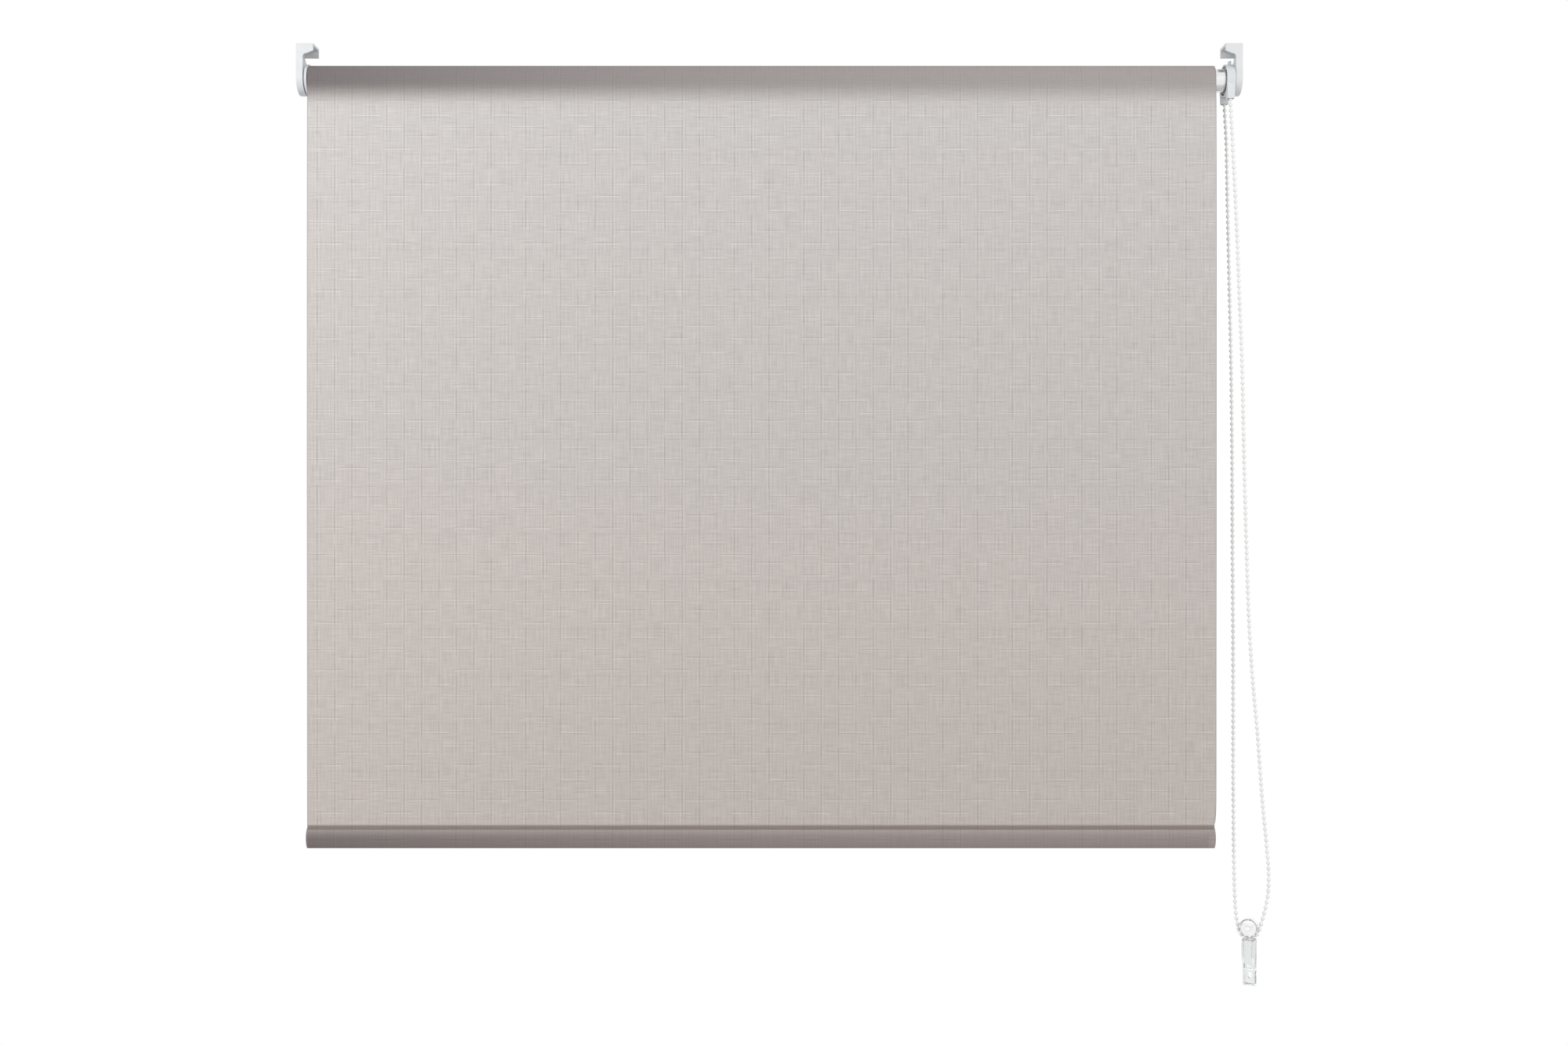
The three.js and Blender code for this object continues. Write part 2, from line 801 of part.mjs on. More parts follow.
// A string of beads on one cord, as one skin: pointAt gives the middle line, and across is a
// direction that the line never takes.
function beadString(pointAt, stations, across) {
  const step = beadRadius * tangentShare;
  const places = [];
  const indices = [];
  for (const [at, radius] of stations) {
    const middle = pointAt(at);
    const forward = pointAt(at + step).sub(pointAt(at - step)).normalize();
    const side = new THREE.Vector3().crossVectors(across, forward).normalize();
    const up = new THREE.Vector3().crossVectors(forward, side);
    for (let i = 0; i < chainSides; i += 1) {
      const angle = (2 * Math.PI * i) / chainSides;
      const corner = middle
        .clone()
        .addScaledVector(side, radius * Math.cos(angle))
        .addScaledVector(up, radius * Math.sin(angle));
      places.push(...corner.toArray());
    }
  }
  for (let ring = 0; ring + 1 < stations.length; ring += 1) {
    for (let i = 0; i < chainSides; i += 1) {
      const a = ring * chainSides + i;
      const b = ring * chainSides + ((i + 1) % chainSides);
      indices.push(a, b, b + chainSides, a, b + chainSides, a + chainSides);
    }
  }
  const last = (stations.length - 1) * chainSides;
  for (let i = 1; i + 1 < chainSides; i += 1) {
    indices.push(0, i + 1, i, last, last + i, last + i + 1);
  }
  const geometry = new THREE.BufferGeometry();
  geometry.setAttribute("position", new THREE.Float32BufferAttribute(places, 3));
  geometry.setIndex(indices);
  return solid(geometry);
}

// The beads that lie in the wheel's pockets and run down into the spouts.
function chainOnWheel() {
  const pointAt = (at) => {
    const past = Math.abs(at) - wheelQuarter;
    const side = Math.sign(at) || 1;
    if (past > 0) return new THREE.Vector3(chainX, -side * pitchRadius, -past);
    const angle = at / pitchRadius;
    return new THREE.Vector3(
      chainX,
      -pitchRadius * Math.sin(angle),
      pitchRadius * Math.cos(angle),
    );
  };
  const end = wheelQuarter + chainStart;
  return beadString(pointAt, beadStations(-end, end), X);
}

// Places round the pulley, as shares of half a turn from its lowest point.
const bendTurnShares = [-0.39, -0.25, -0.11, 0, 0.11, 0.25, 0.39];

// Middle line of the free chain, from the back spout down round the pulley and up to the front.
function chainRoute() {
  const below = chainStart + seatGap;
  const beside = ([across, depth, height]) => [chainX + across, depth, height];
  const back = [
    [chainX, pitchRadius, -below],
    [chainX, pitchRadius, -spoutFoot],
    ...backStrand.map(beside),
  ];
  const bend = [];
  for (const share of bendTurnShares) {
    const angle = share * Math.PI;
    const across = loopRadius * Math.sin(angle);
    bend.push([
      pulleyX + across * Math.cos(pulleyTurn),
      -across * Math.sin(pulleyTurn),
      -pulleyDrop - loopRadius * Math.cos(angle),
    ]);
  }
  const front = [
    ...frontStrand.map(beside),
    [chainX, -pitchRadius, -spoutFoot],
    [chainX, -pitchRadius, -below],
  ];
  const points = [...back, ...bend, ...front].map((point) => new THREE.Vector3(...point));
  return new THREE.CatmullRomCurve3(points, false, "centripetal");
}

function chainLoop() {
  const route = chainRoute();
  route.arcLengthDivisions = routeDivisions;
  const length = route.getLength();
  const stations = [];
  let at = 0;
  while (at < length) {
    stations.push([at, beadRadius]);
    const here = route.getPointAt(at / length);
    at += here.z < -pulleyDrop + 2 * cheekRadius ? bendStep : strandStep;
  }
  stations.pop();
  stations.push([length, beadRadius]);
  return beadString((along) => route.getPointAt(clampShare(along / length)), stations, pulleyAxis);
}

// The tensioner's own frame: X across, -Y to its open front, Z up, origin on the pulley's axle.
function tensionerPulley() {
  const groove = [];
  const reach = Math.acos((loopRadius - pulleyFlangeRadius) / pocketRadius);
  for (let i = 0; i <= grooveSteps; i += 1) {
    const angle = -reach + (2 * reach * i) / grooveSteps;
    groove.push([loopRadius - pocketRadius * Math.cos(angle), pocketRadius * Math.sin(angle)]);
  }
  return turned(
    [
      [axleRadius + seatGap, -pulleyHalfWidth],
      [pulleyFlangeRadius, -pulleyHalfWidth],
      ...groove,
      [pulleyFlangeRadius, pulleyHalfWidth],
      [axleRadius + seatGap, pulleyHalfWidth],
    ],
    Y,
    pulleySegments,
  );
}

function rodAlongY(radius, from, to, segments = smallSegments) {
  const geometry = new THREE.CylinderGeometry(radius, radius, to - from, segments);
  geometry.translate(0, (from + to) / 2, 0);
  return solid(geometry);
}

const cheekFace = pulleyHalfWidth + seatGap;
const cheekBack = cheekFace + cheekThickness;

// Two cheeks beside the pulley on a slim stem that slides in the shell.
function tensionerSlider() {
  const half = stemWidth / 2;
  const web = loopRadius + beadRadius + 2 * seatGap;
  const cheek = new THREE.Shape();
  const open = Math.asin(cheekTop / cheekRadius);
  cheek.absarc(0, 0, cheekRadius, Math.PI - open, 2 * Math.PI + open, false);
  cheek.closePath();
  const plates = alongY(cheek, -cheekBack, cheekBack, smallSegments);
  const stem = block([-half, -cheekBack, -stemFoot], [half, cheekBack, 0]);
  const gap = block(
    [-2 * cheekRadius, -cheekFace, -web],
    [2 * cheekRadius, cheekFace, cheekTop + cutOverrun],
  );
  const recess = block(
    [-half + stemRecessMargin, -cheekBack - cutOverrun, -stemFoot + stemRecessMargin],
    [half - stemRecessMargin, -cheekFace + stemRecessMargin, -web - 2 * stemRecessMargin],
  );
  const bore = rodAlongY(axleRadius + seatGap, -cheekBack - cutOverrun, cheekBack + cutOverrun);
  return cutFrom(plates.add(stem), [gap, recess, bore]);
}

function tensionerAxle() {
  const seat = -cheekBack - seatGap;
  return joined([
    rodAlongY(axleRadius, seat - axleHeadThickness / 2, cheekBack),
    rodAlongY(axleHeadRadius, seat - axleHeadThickness, seat),
  ]);
}

// Where the shell's side walls bulge, narrow and sweep back, down its height.
const shellHeightShares = [0.16, 0.3, 0.46, 0.5, 0.66, 0.9];

// The clear shell: a back plate between two side walls that are deep above and shallow below.
function tensionerShell() {
  const inner = stemWidth / 2 + seatGap;
  const outer = inner + shellWall;
  const plateFront = cheekBack + seatGap;
  const rear = plateFront + shellBackThickness;
  const topFront = rear - shellTopDepth;
  const footFront = rear - shellFootDepth;
  const height = shellFoot - shellTop;
  const [bulge, waist, sweepOut, sweepIn, foot, corner] = shellHeightShares.map(
    (share) => -shellTop - share * height,
  );

  const wall = new THREE.Shape();
  wall.moveTo(rear, -shellTop);
  wall.lineTo(topFront, -shellTop);
  wall.quadraticCurveTo(topFront - shellBulge, bulge, topFront, waist);
  wall.bezierCurveTo(topFront + shellBulge, sweepOut, footFront, sweepIn, footFront, foot);
  wall.lineTo(footFront, corner);
  wall.quadraticCurveTo(footFront, -shellFoot, footFront + 2 * shellBulge, -shellFoot);
  wall.lineTo(rear, -shellFoot);
  wall.closePath();
  const walls = [-1, 1].map((side) => {
    const [from, to] = [side * inner, side * outer].sort((a, b) => a - b);
    return alongX(wall, from, to, bendSegments);
  });

  const plate = block([-outer, plateFront, -shellFoot], [outer, rear, -shellTop]);
  const floor = block(
    [-outer, footFront + 2 * shellBulge, -shellFoot],
    [outer, rear, -shellFoot + shellWall],
  );
  const ledgeTop = -stemFoot - 2 * seatGap;
  const ledge = block(
    [-outer, footFront + shellBulge, ledgeTop - ledgeThickness],
    [outer, rear, ledgeTop],
  );
  const lips = [-1, 1].map((side) => {
    const edge = side * (inner - guideLipReach);
    const lipBack = -cheekBack - seatGap;
    return block(
      [Math.min(edge, side * outer), topFront + seatGap, -shellTop - guideLipLength],
      [Math.max(edge, side * outer), lipBack, -shellTop],
    );
  });

  const slot = new THREE.Shape();
  const slotRadius = screwSlotWidth / 2;
  const slotHalf = screwSlotLength / 2 - slotRadius;
  slot.absarc(0, -screwSlotDrop + slotHalf, slotRadius, 0, Math.PI, false);
  slot.absarc(0, -screwSlotDrop - slotHalf, slotRadius, Math.PI, 2 * Math.PI, false);
  slot.closePath();
  const slotCut = alongY(slot, plateFront - cutOverrun, rear + cutOverrun, bendSegments);
  return joined([plate, ...walls, floor, ledge, ...lips]).subtract(slotCut);
}

function tensioner() {
  const group = new THREE.Group();
  group.add(piece("tensioner_body", tensionerShell(), clearPlastic));
  group.add(piece("tensioner_slider", tensionerSlider(), clearPlastic));
  group.add(piece("tensioner_pulley", tensionerPulley(), clearPlastic));
  group.add(piece("tensioner_axle", tensionerAxle(), clearPlastic));
  group.rotation.z = -pulleyTurn;
  group.position.set(pulleyX, 0, -pulleyDrop);
  return group;
}

const blind = new THREE.Group();
blind.add(
  piece("left_bracket", leftBracket(), whitePlastic),
  piece("right_bracket", rightBracket(), whitePlastic),
  piece("idle_plug", idlePlug(), whitePlastic),
  piece("idle_pin", idlePin(), springSteel),
  piece("idle_spring", idleSpring(), springSteel),
  piece("plug_cap", plugCap(), greyPlastic),
  piece("roller_tube", rollerTube(), polishedTube),
  piece("fabric_roll", fabricRoll(), greigeFabric),
  piece("fabric_drop", fabricDrop(), greigeFabric),
  piece("hem_pocket", hemPocket(), greigeFabric),
  piece("bottom_bar", bottomBar(), barAluminium),
  piece("winder_base", winderBase(), whitePlastic),
  piece("chain_guard", chainGuard(), whitePlastic),
  piece("chain_wheel", chainWheel(), greyPlastic),
  piece("drive_crown", driveCrown(), greyPlastic),
  piece("wrap_spring_inner", wrapSpring(0), springSteel),
  piece("wrap_spring_outer", wrapSpring(1), springSteel),
  piece("retaining_washer", retainingWasher(), springSteel),
  piece("retaining_screw", retainingScrew(), springSteel),
  piece("chain_on_wheel", chainOnWheel(), chainPlastic),
  piece("chain_loop", chainLoop(), chainPlastic),
  tensioner(),
);
blind.position.set(-hookLength / 2, -(armFront + hookBack) / 2, -hookSeat);

const rollerBlind = new THREE.Group();
rollerBlind.add(blind);

export default rollerBlind;
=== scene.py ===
"""Looks of a chain-operated blackout roller blind: cloth, hem, bead chain, fittings and studio.

Metres, +Z up, +X to the right as seen from the room, +Y to the wall. The origin is the middle
of the left bracket's hook seat. Every new piece keeps its place in its own mesh.
"""

import logging
import math
from dataclasses import dataclass, field
from enum import Enum

import bmesh
import bpy
import numpy as np
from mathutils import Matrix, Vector


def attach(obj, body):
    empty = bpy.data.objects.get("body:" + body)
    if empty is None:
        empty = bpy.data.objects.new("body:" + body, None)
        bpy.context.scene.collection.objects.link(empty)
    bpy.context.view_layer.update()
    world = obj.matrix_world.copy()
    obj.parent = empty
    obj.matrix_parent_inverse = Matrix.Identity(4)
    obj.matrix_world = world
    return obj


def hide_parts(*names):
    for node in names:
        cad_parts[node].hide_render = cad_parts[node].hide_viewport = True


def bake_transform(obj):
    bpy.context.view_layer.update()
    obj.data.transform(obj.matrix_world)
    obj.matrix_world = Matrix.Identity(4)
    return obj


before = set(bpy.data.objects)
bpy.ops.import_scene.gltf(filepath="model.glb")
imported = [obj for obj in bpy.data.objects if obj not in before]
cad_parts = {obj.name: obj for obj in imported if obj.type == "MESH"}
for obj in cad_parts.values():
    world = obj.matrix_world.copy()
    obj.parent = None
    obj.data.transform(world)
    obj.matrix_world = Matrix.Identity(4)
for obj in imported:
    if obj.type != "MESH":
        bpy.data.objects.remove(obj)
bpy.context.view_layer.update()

MM = 0.001
AXIS_Y = 4 * MM  # the roller's axis, behind the origin
AXIS_Z = -33.5 * MM  # the roller's axis, below the origin

# Sockets of a Mix node that blends two colours
FACTOR, FIRST, SECOND = 0, 6, 7

log = logging.getLogger("blind")

Array = np.ndarray
Faces = list[list[int]]
Place = tuple[float, float, float]
Object = bpy.types.Object
Material = bpy.types.Material
Node = bpy.types.Node
Socket = bpy.types.NodeSocket
Value = Node | Socket | float | tuple[float, ...]


def linear(colour: str) -> tuple[float, float, float, float]:
    """Turn an sRGB hex colour into linear light.

    Args:
        colour: Six hex digits after a hash.

    Returns:
        Red, green, blue and an alpha of 1.
    """
    shares = [int(colour[at : at + 2], 16) / 255 for at in (1, 3, 5)]
    red, green, blue = (
        share / 12.92 if share <= 0.04045 else ((share + 0.055) / 1.055) ** 2.4
        for share in shares
    )
    return red, green, blue, 1.0


@dataclass(frozen=True)
class Nodes:
    """A shader's node tree that is being filled."""

    tree: bpy.types.NodeTree

    def feed(self, node: Node, inputs: dict[str | int, Value]) -> Node:
        """Give a node its numbers and its links.

        Args:
            node: The node.
            inputs: Per input name or number, a plain value, a socket to link from, or a node
                whose first output in use is linked.

        Returns:
            The same node.
        """
        for name, value in inputs.items():
            if isinstance(value, Node):
                value = next(output for output in value.outputs if output.enabled)
            if isinstance(value, Socket):
                self.tree.links.new(value, node.inputs[name])
            else:
                node.inputs[name].default_value = value
        return node

    def add(
        self, kind: str, inputs: dict[str | int, Value] | None = None, **settings: object
    ) -> Node:
        """Add a node with its settings, its numbers and its links.

        Args:
            kind: The node's type name, without the ShaderNode at its start.
            inputs: What feed takes.
            settings: The node's own attributes.

        Returns:
            The new node.
        """
        node = self.tree.nodes.new(f"ShaderNode{kind}")
        for name, value in settings.items():
            setattr(node, name, value)
        return self.feed(node, inputs or {})


def new_surface(name: str) -> tuple[Material, Nodes, Node]:
    """Start a material.

    Args:
        name: The finish's name.

    Returns:
        The material, its nodes and its Principled shader.
    """
    material = bpy.data.materials.new(name)
    material.use_nodes = True
    tree = material.node_tree
    return material, Nodes(tree), tree.nodes["Principled BSDF"]


@dataclass(frozen=True)
class MouldedPlastic:
    """Injection moulded ABS or acetal: one even colour with faint flow streaks and a fine skin.

    The spark-eroded grain is about 0.1 mm in reality and is drawn coarser, so that it shows.
    """

    name: str
    colour: str
    streak: str
    roughness: float = 0.4
    ior: float = 1.5
    streak_mm: float = 16.0
    grain_mm: float = 0.7
    relief_mm: float = 0.012
    spread: float = 0.05

    def make(self) -> Material:
        """Build the material with streaks in its colour and grain in its relief.

        Returns:
            The material.
        """
        material, nodes, surface = new_surface(self.name)
        place = nodes.add("TexCoord").outputs["Object"]
        streaks = {"Scale": 1000 / self.streak_mm, "Detail": 2.0, "Distortion": 0.8}
        flow = nodes.add("TexNoise", {"Vector": place, **streaks})
        share = nodes.add("MapRange", {"Value": flow, "From Min": 0.35, "From Max": 0.7})
        colours = {FIRST: linear(self.colour), SECOND: linear(self.streak)}
        fine = {"Scale": 1000 / self.grain_mm, "Detail": 3.0}
        grain = nodes.add("TexNoise", {"Vector": place, **fine})
        ends = {"To Min": self.roughness - self.spread, "To Max": self.roughness + self.spread}
        depth = {"Strength": 0.5, "Distance": self.relief_mm * MM}
        dress = {
            "Base Color": nodes.add("Mix", {FACTOR: share, **colours}, data_type="RGBA"),
            "Roughness": nodes.add("MapRange", {"Value": grain, **ends}),
            "Normal": nodes.add("Bump", {"Height": grain, **depth}),
            "IOR": self.ior,
        }
        nodes.feed(surface, dress)
        return material


@dataclass(frozen=True)
class DrawnMetal:
    """Rolled, extruded or drawn metal: fine lines that all run along X.

    The lines are some 0.05 mm apart in reality and are drawn coarser, so that they show.
    """

    name: str
    colour: str
    line: str
    roughness: float
    line_mm: float = 0.6
    line_length_mm: float = 45.0
    relief_mm: float = 0.004
    spread: float = 0.25

    def make(self) -> Material:
        """Build the material with its lines in the colour, the roughness and the relief.

        Returns:
            The material.
        """
        material, nodes, surface = new_surface(self.name)
        place = nodes.add("TexCoord").outputs["Object"]
        pace = 1000 / self.line_mm
        scale = (1000 / self.line_length_mm, pace, pace)
        stretched = nodes.add("Mapping", {"Vector": place, "Scale": scale})
        lines = nodes.add("TexNoise", {"Vector": stretched, "Scale": 1.0, "Detail": 4.0})
        colours = {FIRST: linear(self.colour), SECOND: linear(self.line)}
        spread = self.roughness * self.spread
        ends = {"To Min": self.roughness - spread, "To Max": self.roughness + spread}
        depth = {"Strength": 0.6, "Distance": self.relief_mm * MM}
        dress = {
            "Base Color": nodes.add("Mix", {FACTOR: lines, **colours}, data_type="RGBA"),
            "Roughness": nodes.add("MapRange", {"Value": lines, **ends}),
            "Normal": nodes.add("Bump", {"Height": lines, **depth}),
            "Metallic": 1.0,
        }
        nodes.feed(surface, dress)
        return material


@dataclass(frozen=True)
class ClearPolycarbonate:
    """Injection moulded clear polycarbonate: polished, neutral, its edges read as grey.

    A thin wall bends light less than a thick one, so it has a lower index here.
    """

    name: str
    colour: str
    roughness: float = 0.03
    ior: float = 1.586
    ripple_mm: float = 14.0
    relief_mm: float = 0.002

    def make(self) -> Material:
        """Build the clear material with the faint ripple of a moulded wall.

        Returns:
            The material.
        """
        material, nodes, surface = new_surface(self.name)
        place = nodes.add("TexCoord").outputs["Object"]
        waves = {"Scale": 1000 / self.ripple_mm, "Detail": 1.0}
        ripple = nodes.add("TexNoise", {"Vector": place, **waves})
        depth = {"Strength": 0.4, "Distance": self.relief_mm * MM}
        dress = {
            "Normal": nodes.add("Bump", {"Height": ripple, **depth}),
            "Base Color": linear(self.colour),
            "Roughness": self.roughness,
            "IOR": self.ior,
            "Transmission Weight": 1.0,
        }
        nodes.feed(surface, dress)
        return material


class Backing(Enum):
    """What lies behind the cloth, which decides how much light is painted as coming through it."""

    SKY = "sky"
    ROLL = "roll"
    BAR = "bar"


@dataclass(frozen=True)
class Slub:
    """A short thick thread in the cloth's repeat, in millimetres.

    across and down are its middle in the repeat, width and length its size, and tone is how
    much lighter or darker it is than the ground cloth.
    """

    across: float
    down: float
    width: float
    length: float
    tone: float


@dataclass(frozen=True)
class SlubCloth:
    """Polyester blackout cloth: a ribbed plain weave with slubs, coated on its back.

    The daylight that shines through the single layer is painted into its colour: painted light
    where it hangs free, and painted shade, greige, where the roll or the bar is behind it. The
    repeat is 73.4 mm by 50.1 mm. It has 20 ribs across,
    which the 16 and 24 beside them make stronger at each of its four columns of slubs. Its
    coordinates are the piece's own UV map in metres: across from the cloth's left edge, and
    down from where it leaves the roll.
    """

    name: str
    backing: Backing
    # Painted light: the lit colour, lighter at the top than at the foot as a painted falloff
    lit_top: str = "#cac6c3"
    lit_foot: str = "#c0b7b2"
    # Painted light, stronger towards the left edge
    painted_light_left_gain: float = 0.08
    # Painted shade: the cloth where the roll or the bar is behind it, darker at the left than at
    # the right
    shaded_left: str = "#797272"
    shaded_right: str = "#a69f9e"
    cut_edge: str = "#8d8590"
    cut_edge_width: float = 0.5 * MM
    # Painted shade of the hem's flange, darker than the lit cloth
    flange: str = "#8f8480"
    # Painted shade along the weld's groove
    weld_groove_shade: str = "#80756f"
    repeat_across: float = 73.4 * MM
    repeat_down: float = 50.1 * MM
    ribs: tuple[tuple[int, float], ...] = ((20, 0.028), (16, 0.013), (24, 0.015), (36, 0.005))
    thread: float = 0.8 * MM
    thread_depth: float = 0.13
    thread_shapes: tuple[tuple[float, float], ...] = ((1.0, 30.0), (25.0, 1.0))
    slubs: tuple[Slub, ...] = (
        Slub(10.5, 44.9, 1.0, 31.0, -0.12),
        Slub(28.9, 11.7, 1.0, 35.5, -0.11),
        Slub(30.6, 11.7, 0.9, 33.0, 0.06),
        Slub(47.2, 25.6, 1.0, 36.9, -0.12),
        Slub(65.6, 35.4, 0.9, 11.5, -0.09),
        Slub(12.2, 1.9, 33.0, 0.8, 0.14),
        Slub(12.2, 3.2, 33.0, 0.9, -0.11),
        Slub(12.2, 4.4, 33.0, 0.8, 0.14),
        Slub(22.6, 24.4, 29.0, 0.9, -0.12),
        Slub(22.6, 25.8, 29.0, 0.8, 0.16),
        Slub(62.2, 40.6, 29.0, 0.8, 0.16),
        Slub(62.2, 42.0, 29.0, 0.8, -0.12),
        Slub(48.0, 11.4, 31.5, 0.9, -0.12),
        Slub(48.0, 12.8, 31.5, 0.8, 0.16),
        Slub(35.0, 31.6, 70.0, 0.9, -0.07),
    )
    soft_share: float = 0.35
    soft_below: float = 8 * MM
    width: float = 960 * MM
    drop: float = 789 * MM
    # Where the painted shade under the roll fades into painted light, down the cloth
    fade_from: float = 4.0 * MM
    fade_to: float = 33.0 * MM
    shaded_weave: float = 0.45
    # Painted light in the pocket, past the bar's right end and above the bar
    bar_end: float = 950.5 * MM
    bar_fade: float = 2.5 * MM
    painted_light_past_bar: float = 0.22
    painted_light_over_bar: float = 0.4
    painted_light_over_bar_to: float = 16.0 * MM
    weld_lines: tuple[float, float] = (1.6 * MM, 6.6 * MM)
    weld_width: float = 1.9 * MM
    relief: float = 0.18 * MM
    roughness: float = 0.88
    specular: float = 0.25
    sheen: float = 0.08

    def make(self) -> Material:
        """Build the cloth with its painted light and shade, its ribs, slubs, cut edges and relief.

        Returns:
            The material.
        """
        material, nodes, surface = new_surface(self.name)
        place = nodes.add("TexCoord").outputs["UV"]
        thread = nodes.add("SeparateXYZ", {"Vector": place})
        across, down = thread.outputs["X"], thread.outputs["Y"]
        light = self._light(nodes, across, down)
        ground = self._ground(nodes, across, down, light)
        weave = self._weave(nodes, across, down)
        # The weave shows less where shade is painted
        strength = nodes.add("MapRange", {"Value": light, "To Min": self.shaded_weave})
        factor = nodes.add("Math", {0: weave, 1: strength, 2: 1.0}, operation="MULTIPLY_ADD")
        tone = nodes.add("VectorMath", {0: ground, "Scale": factor}, operation="SCALE")
        middle = self.width / 2
        uncut = {0: across, 1: middle, 2: middle - self.cut_edge_width}
        share = nodes.add("Math", uncut, operation="COMPARE")
        colours = {FIRST: linear(self.cut_edge), SECOND: tone}
        depth = {"Strength": 0.6, "Distance": self.relief}
        dress = {
            "Base Color": nodes.add("Mix", {FACTOR: share, **colours}, data_type="RGBA"),
            "Normal": nodes.add("Bump", {"Height": weave, **depth}),
            "Roughness": self.roughness,
            "Specular IOR Level": self.specular,
            "Sheen Weight": self.sheen,
        }
        nodes.feed(surface, dress)
        return material

    def _light(self, nodes: Nodes, across: Socket, down: Socket) -> Value:
        """Say how much daylight to paint as coming through: none over the roll, which is painted
        shade, all of it some way under it, and a little above the bar and past its right end.

        Args:
            nodes: The material's nodes.
            across: Metres from the cloth's left edge.
            down: Metres down the cloth from where it leaves the roll.

        Returns:
            The share of painted light, 0 to 1.
        """
        # The roll is painted shade all over
        if self.backing is Backing.ROLL:
            return 0.0
        # Painted shade under the roll, fading into painted light further down
        fades = [(down, self.fade_from, self.fade_to, 1.0)]
        if self.backing is Backing.BAR:
            # In the pocket: painted light past the bar's right end and above the bar, painted shade
            # elsewhere
            groove = self.drop + self.weld_lines[1]
            fades = [
                (across, self.bar_end, self.bar_end + self.bar_fade, self.painted_light_past_bar),
                (down, self.drop + self.painted_light_over_bar_to, groove, self.painted_light_over_bar),
            ]
        light: Value = 0.0
        for value, start, end, most in fades:
            ends = {"Value": value, "From Min": start, "From Max": end, "To Max": most}
            share = nodes.add("MapRange", ends, interpolation_type="SMOOTHSTEP")
            light = nodes.add("Math", {0: share, 1: light}, operation="MAXIMUM")
        return light

    def _share_left(self, nodes: Nodes, value: Socket, length: float, power: float) -> Node:
        """Say how much of a length is still to come at a place, to a power.

        Args:
            nodes: The material's nodes.
            value: The place, in metres.
            length: The whole length.
            power: The share's power.

        Returns:
            The share, from 1 at the start to 0 at the end.
        """
        left = nodes.add("MapRange", {"Value": value, "From Min": length, "From Max": 0.0})
        return nodes.add("Math", {0: left, 1: power}, operation="POWER")

    def _ground(self, nodes: Nodes, across: Socket, down: Socket, light: Value) -> Node:
        """Mix the cloth's painted light and painted shade, and paint the hem's weld.

        The painted shaded colour changes with the square of the way to the right edge, the lit
        one evenly on the way down as a painted falloff. More light is painted towards the left
        edge, by the cube.

        Args:
            nodes: The material's nodes.
            across: Metres from the cloth's left edge.
            down: Metres down the cloth from where it leaves the roll.
            light: The share of painted light that comes through.

        Returns:
            The ground colour.
        """
        sides = []
        for value, length, power, start, end in (
            (across, self.width, 2.0, self.shaded_left, self.shaded_right),
            (down, self.drop, 1.0, self.lit_top, self.lit_foot),
        ):
            share = self._share_left(nodes, value, length, power)
            colours = {FIRST: linear(end), SECOND: linear(start)}
            sides.append(nodes.add("Mix", {FACTOR: share, **colours}, data_type="RGBA"))
        ground, lit = sides
        # Painted light, stronger towards the left edge by the cube
        share = self._share_left(nodes, across, self.width, 3.0)
        painted_left_light = nodes.add("Math", {0: share, 1: self.painted_light_left_gain, 2: 1.0}, operation="MULTIPLY_ADD")
        lit = nodes.add("VectorMath", {0: lit, "Scale": painted_left_light}, operation="SCALE")
        layers: list[tuple[Value, Value]] = [(light, lit)]
        if self.backing is Backing.BAR:
            # The flange is painted in shade from the groove up to the fold, and lit above the fold
            fold, groove = (self.drop + line for line in self.weld_lines)
            for place, colour in ((groove, linear(self.flange)), (fold, lit)):
                above = {"Value": down, "From Min": place, "From Max": place - self.weld_width}
                layers.append((nodes.add("MapRange", above), colour))
            # A line of painted shade along the weld's groove
            share = self._band(nodes, down, groove, self.weld_width, self.drop)
            layers.append((share, linear(self.weld_groove_shade)))
        for share, colour in layers:
            colours = {FIRST: ground, SECOND: colour}
            ground = nodes.add("Mix", {FACTOR: share, **colours}, data_type="RGBA")
        return ground

    def _weave(self, nodes: Nodes, across: Socket, down: Socket) -> Node:
        """Add up ribs, threads and slubs to one value about 0.

        Args:
            nodes: The material's nodes.
            across: Metres from the cloth's left edge.
            down: Metres down the cloth from where it leaves the roll.

        Returns:
            The value, above 0 where the cloth is lighter and thicker.
        """
        total: Value = 0.0
        for count, depth in self.ribs:
            pace = 2 * math.pi * count / self.repeat_across
            angle = {0: across, 1: pace, 2: -pace * self.slubs[0].across * MM}
            wave = nodes.add("Math", angle, operation="MULTIPLY_ADD")
            wave = nodes.add("Math", {0: wave}, operation="COSINE")
            total = nodes.add("Math", {0: wave, 1: -depth, 2: total}, operation="MULTIPLY_ADD")
        flat = nodes.add("CombineXYZ", {"X": across, "Y": down})
        ends = {"To Min": -self.thread_depth, "To Max": self.thread_depth}
        for wide, long in self.thread_shapes:
            scale = (1 / (self.thread * wide), 1 / (self.thread * long), 1.0)
            fine = nodes.add("Mapping", {"Vector": flat, "Scale": scale})
            noise = {"Vector": fine, "Scale": 1.0, "Detail": 1.0}
            threads = nodes.add("TexNoise", noise, noise_dimensions="2D")
            centred = nodes.add("MapRange", {"Value": threads, **ends})
            total = nodes.add("Math", {0: centred, 1: total}, operation="ADD")
        for slub in self.slubs:
            bands = [
                self._band(nodes, value, middle * MM, size * MM, repeat)
                for value, middle, size, repeat in (
                    (across, slub.across, slub.width, self.repeat_across),
                    (down, slub.down, slub.length, self.repeat_down),
                )
            ]
            both = nodes.add("Math", dict(enumerate(bands)), operation="MULTIPLY")
            total = nodes.add("Math", {0: both, 1: slub.tone, 2: total}, operation="MULTIPLY_ADD")
        return total

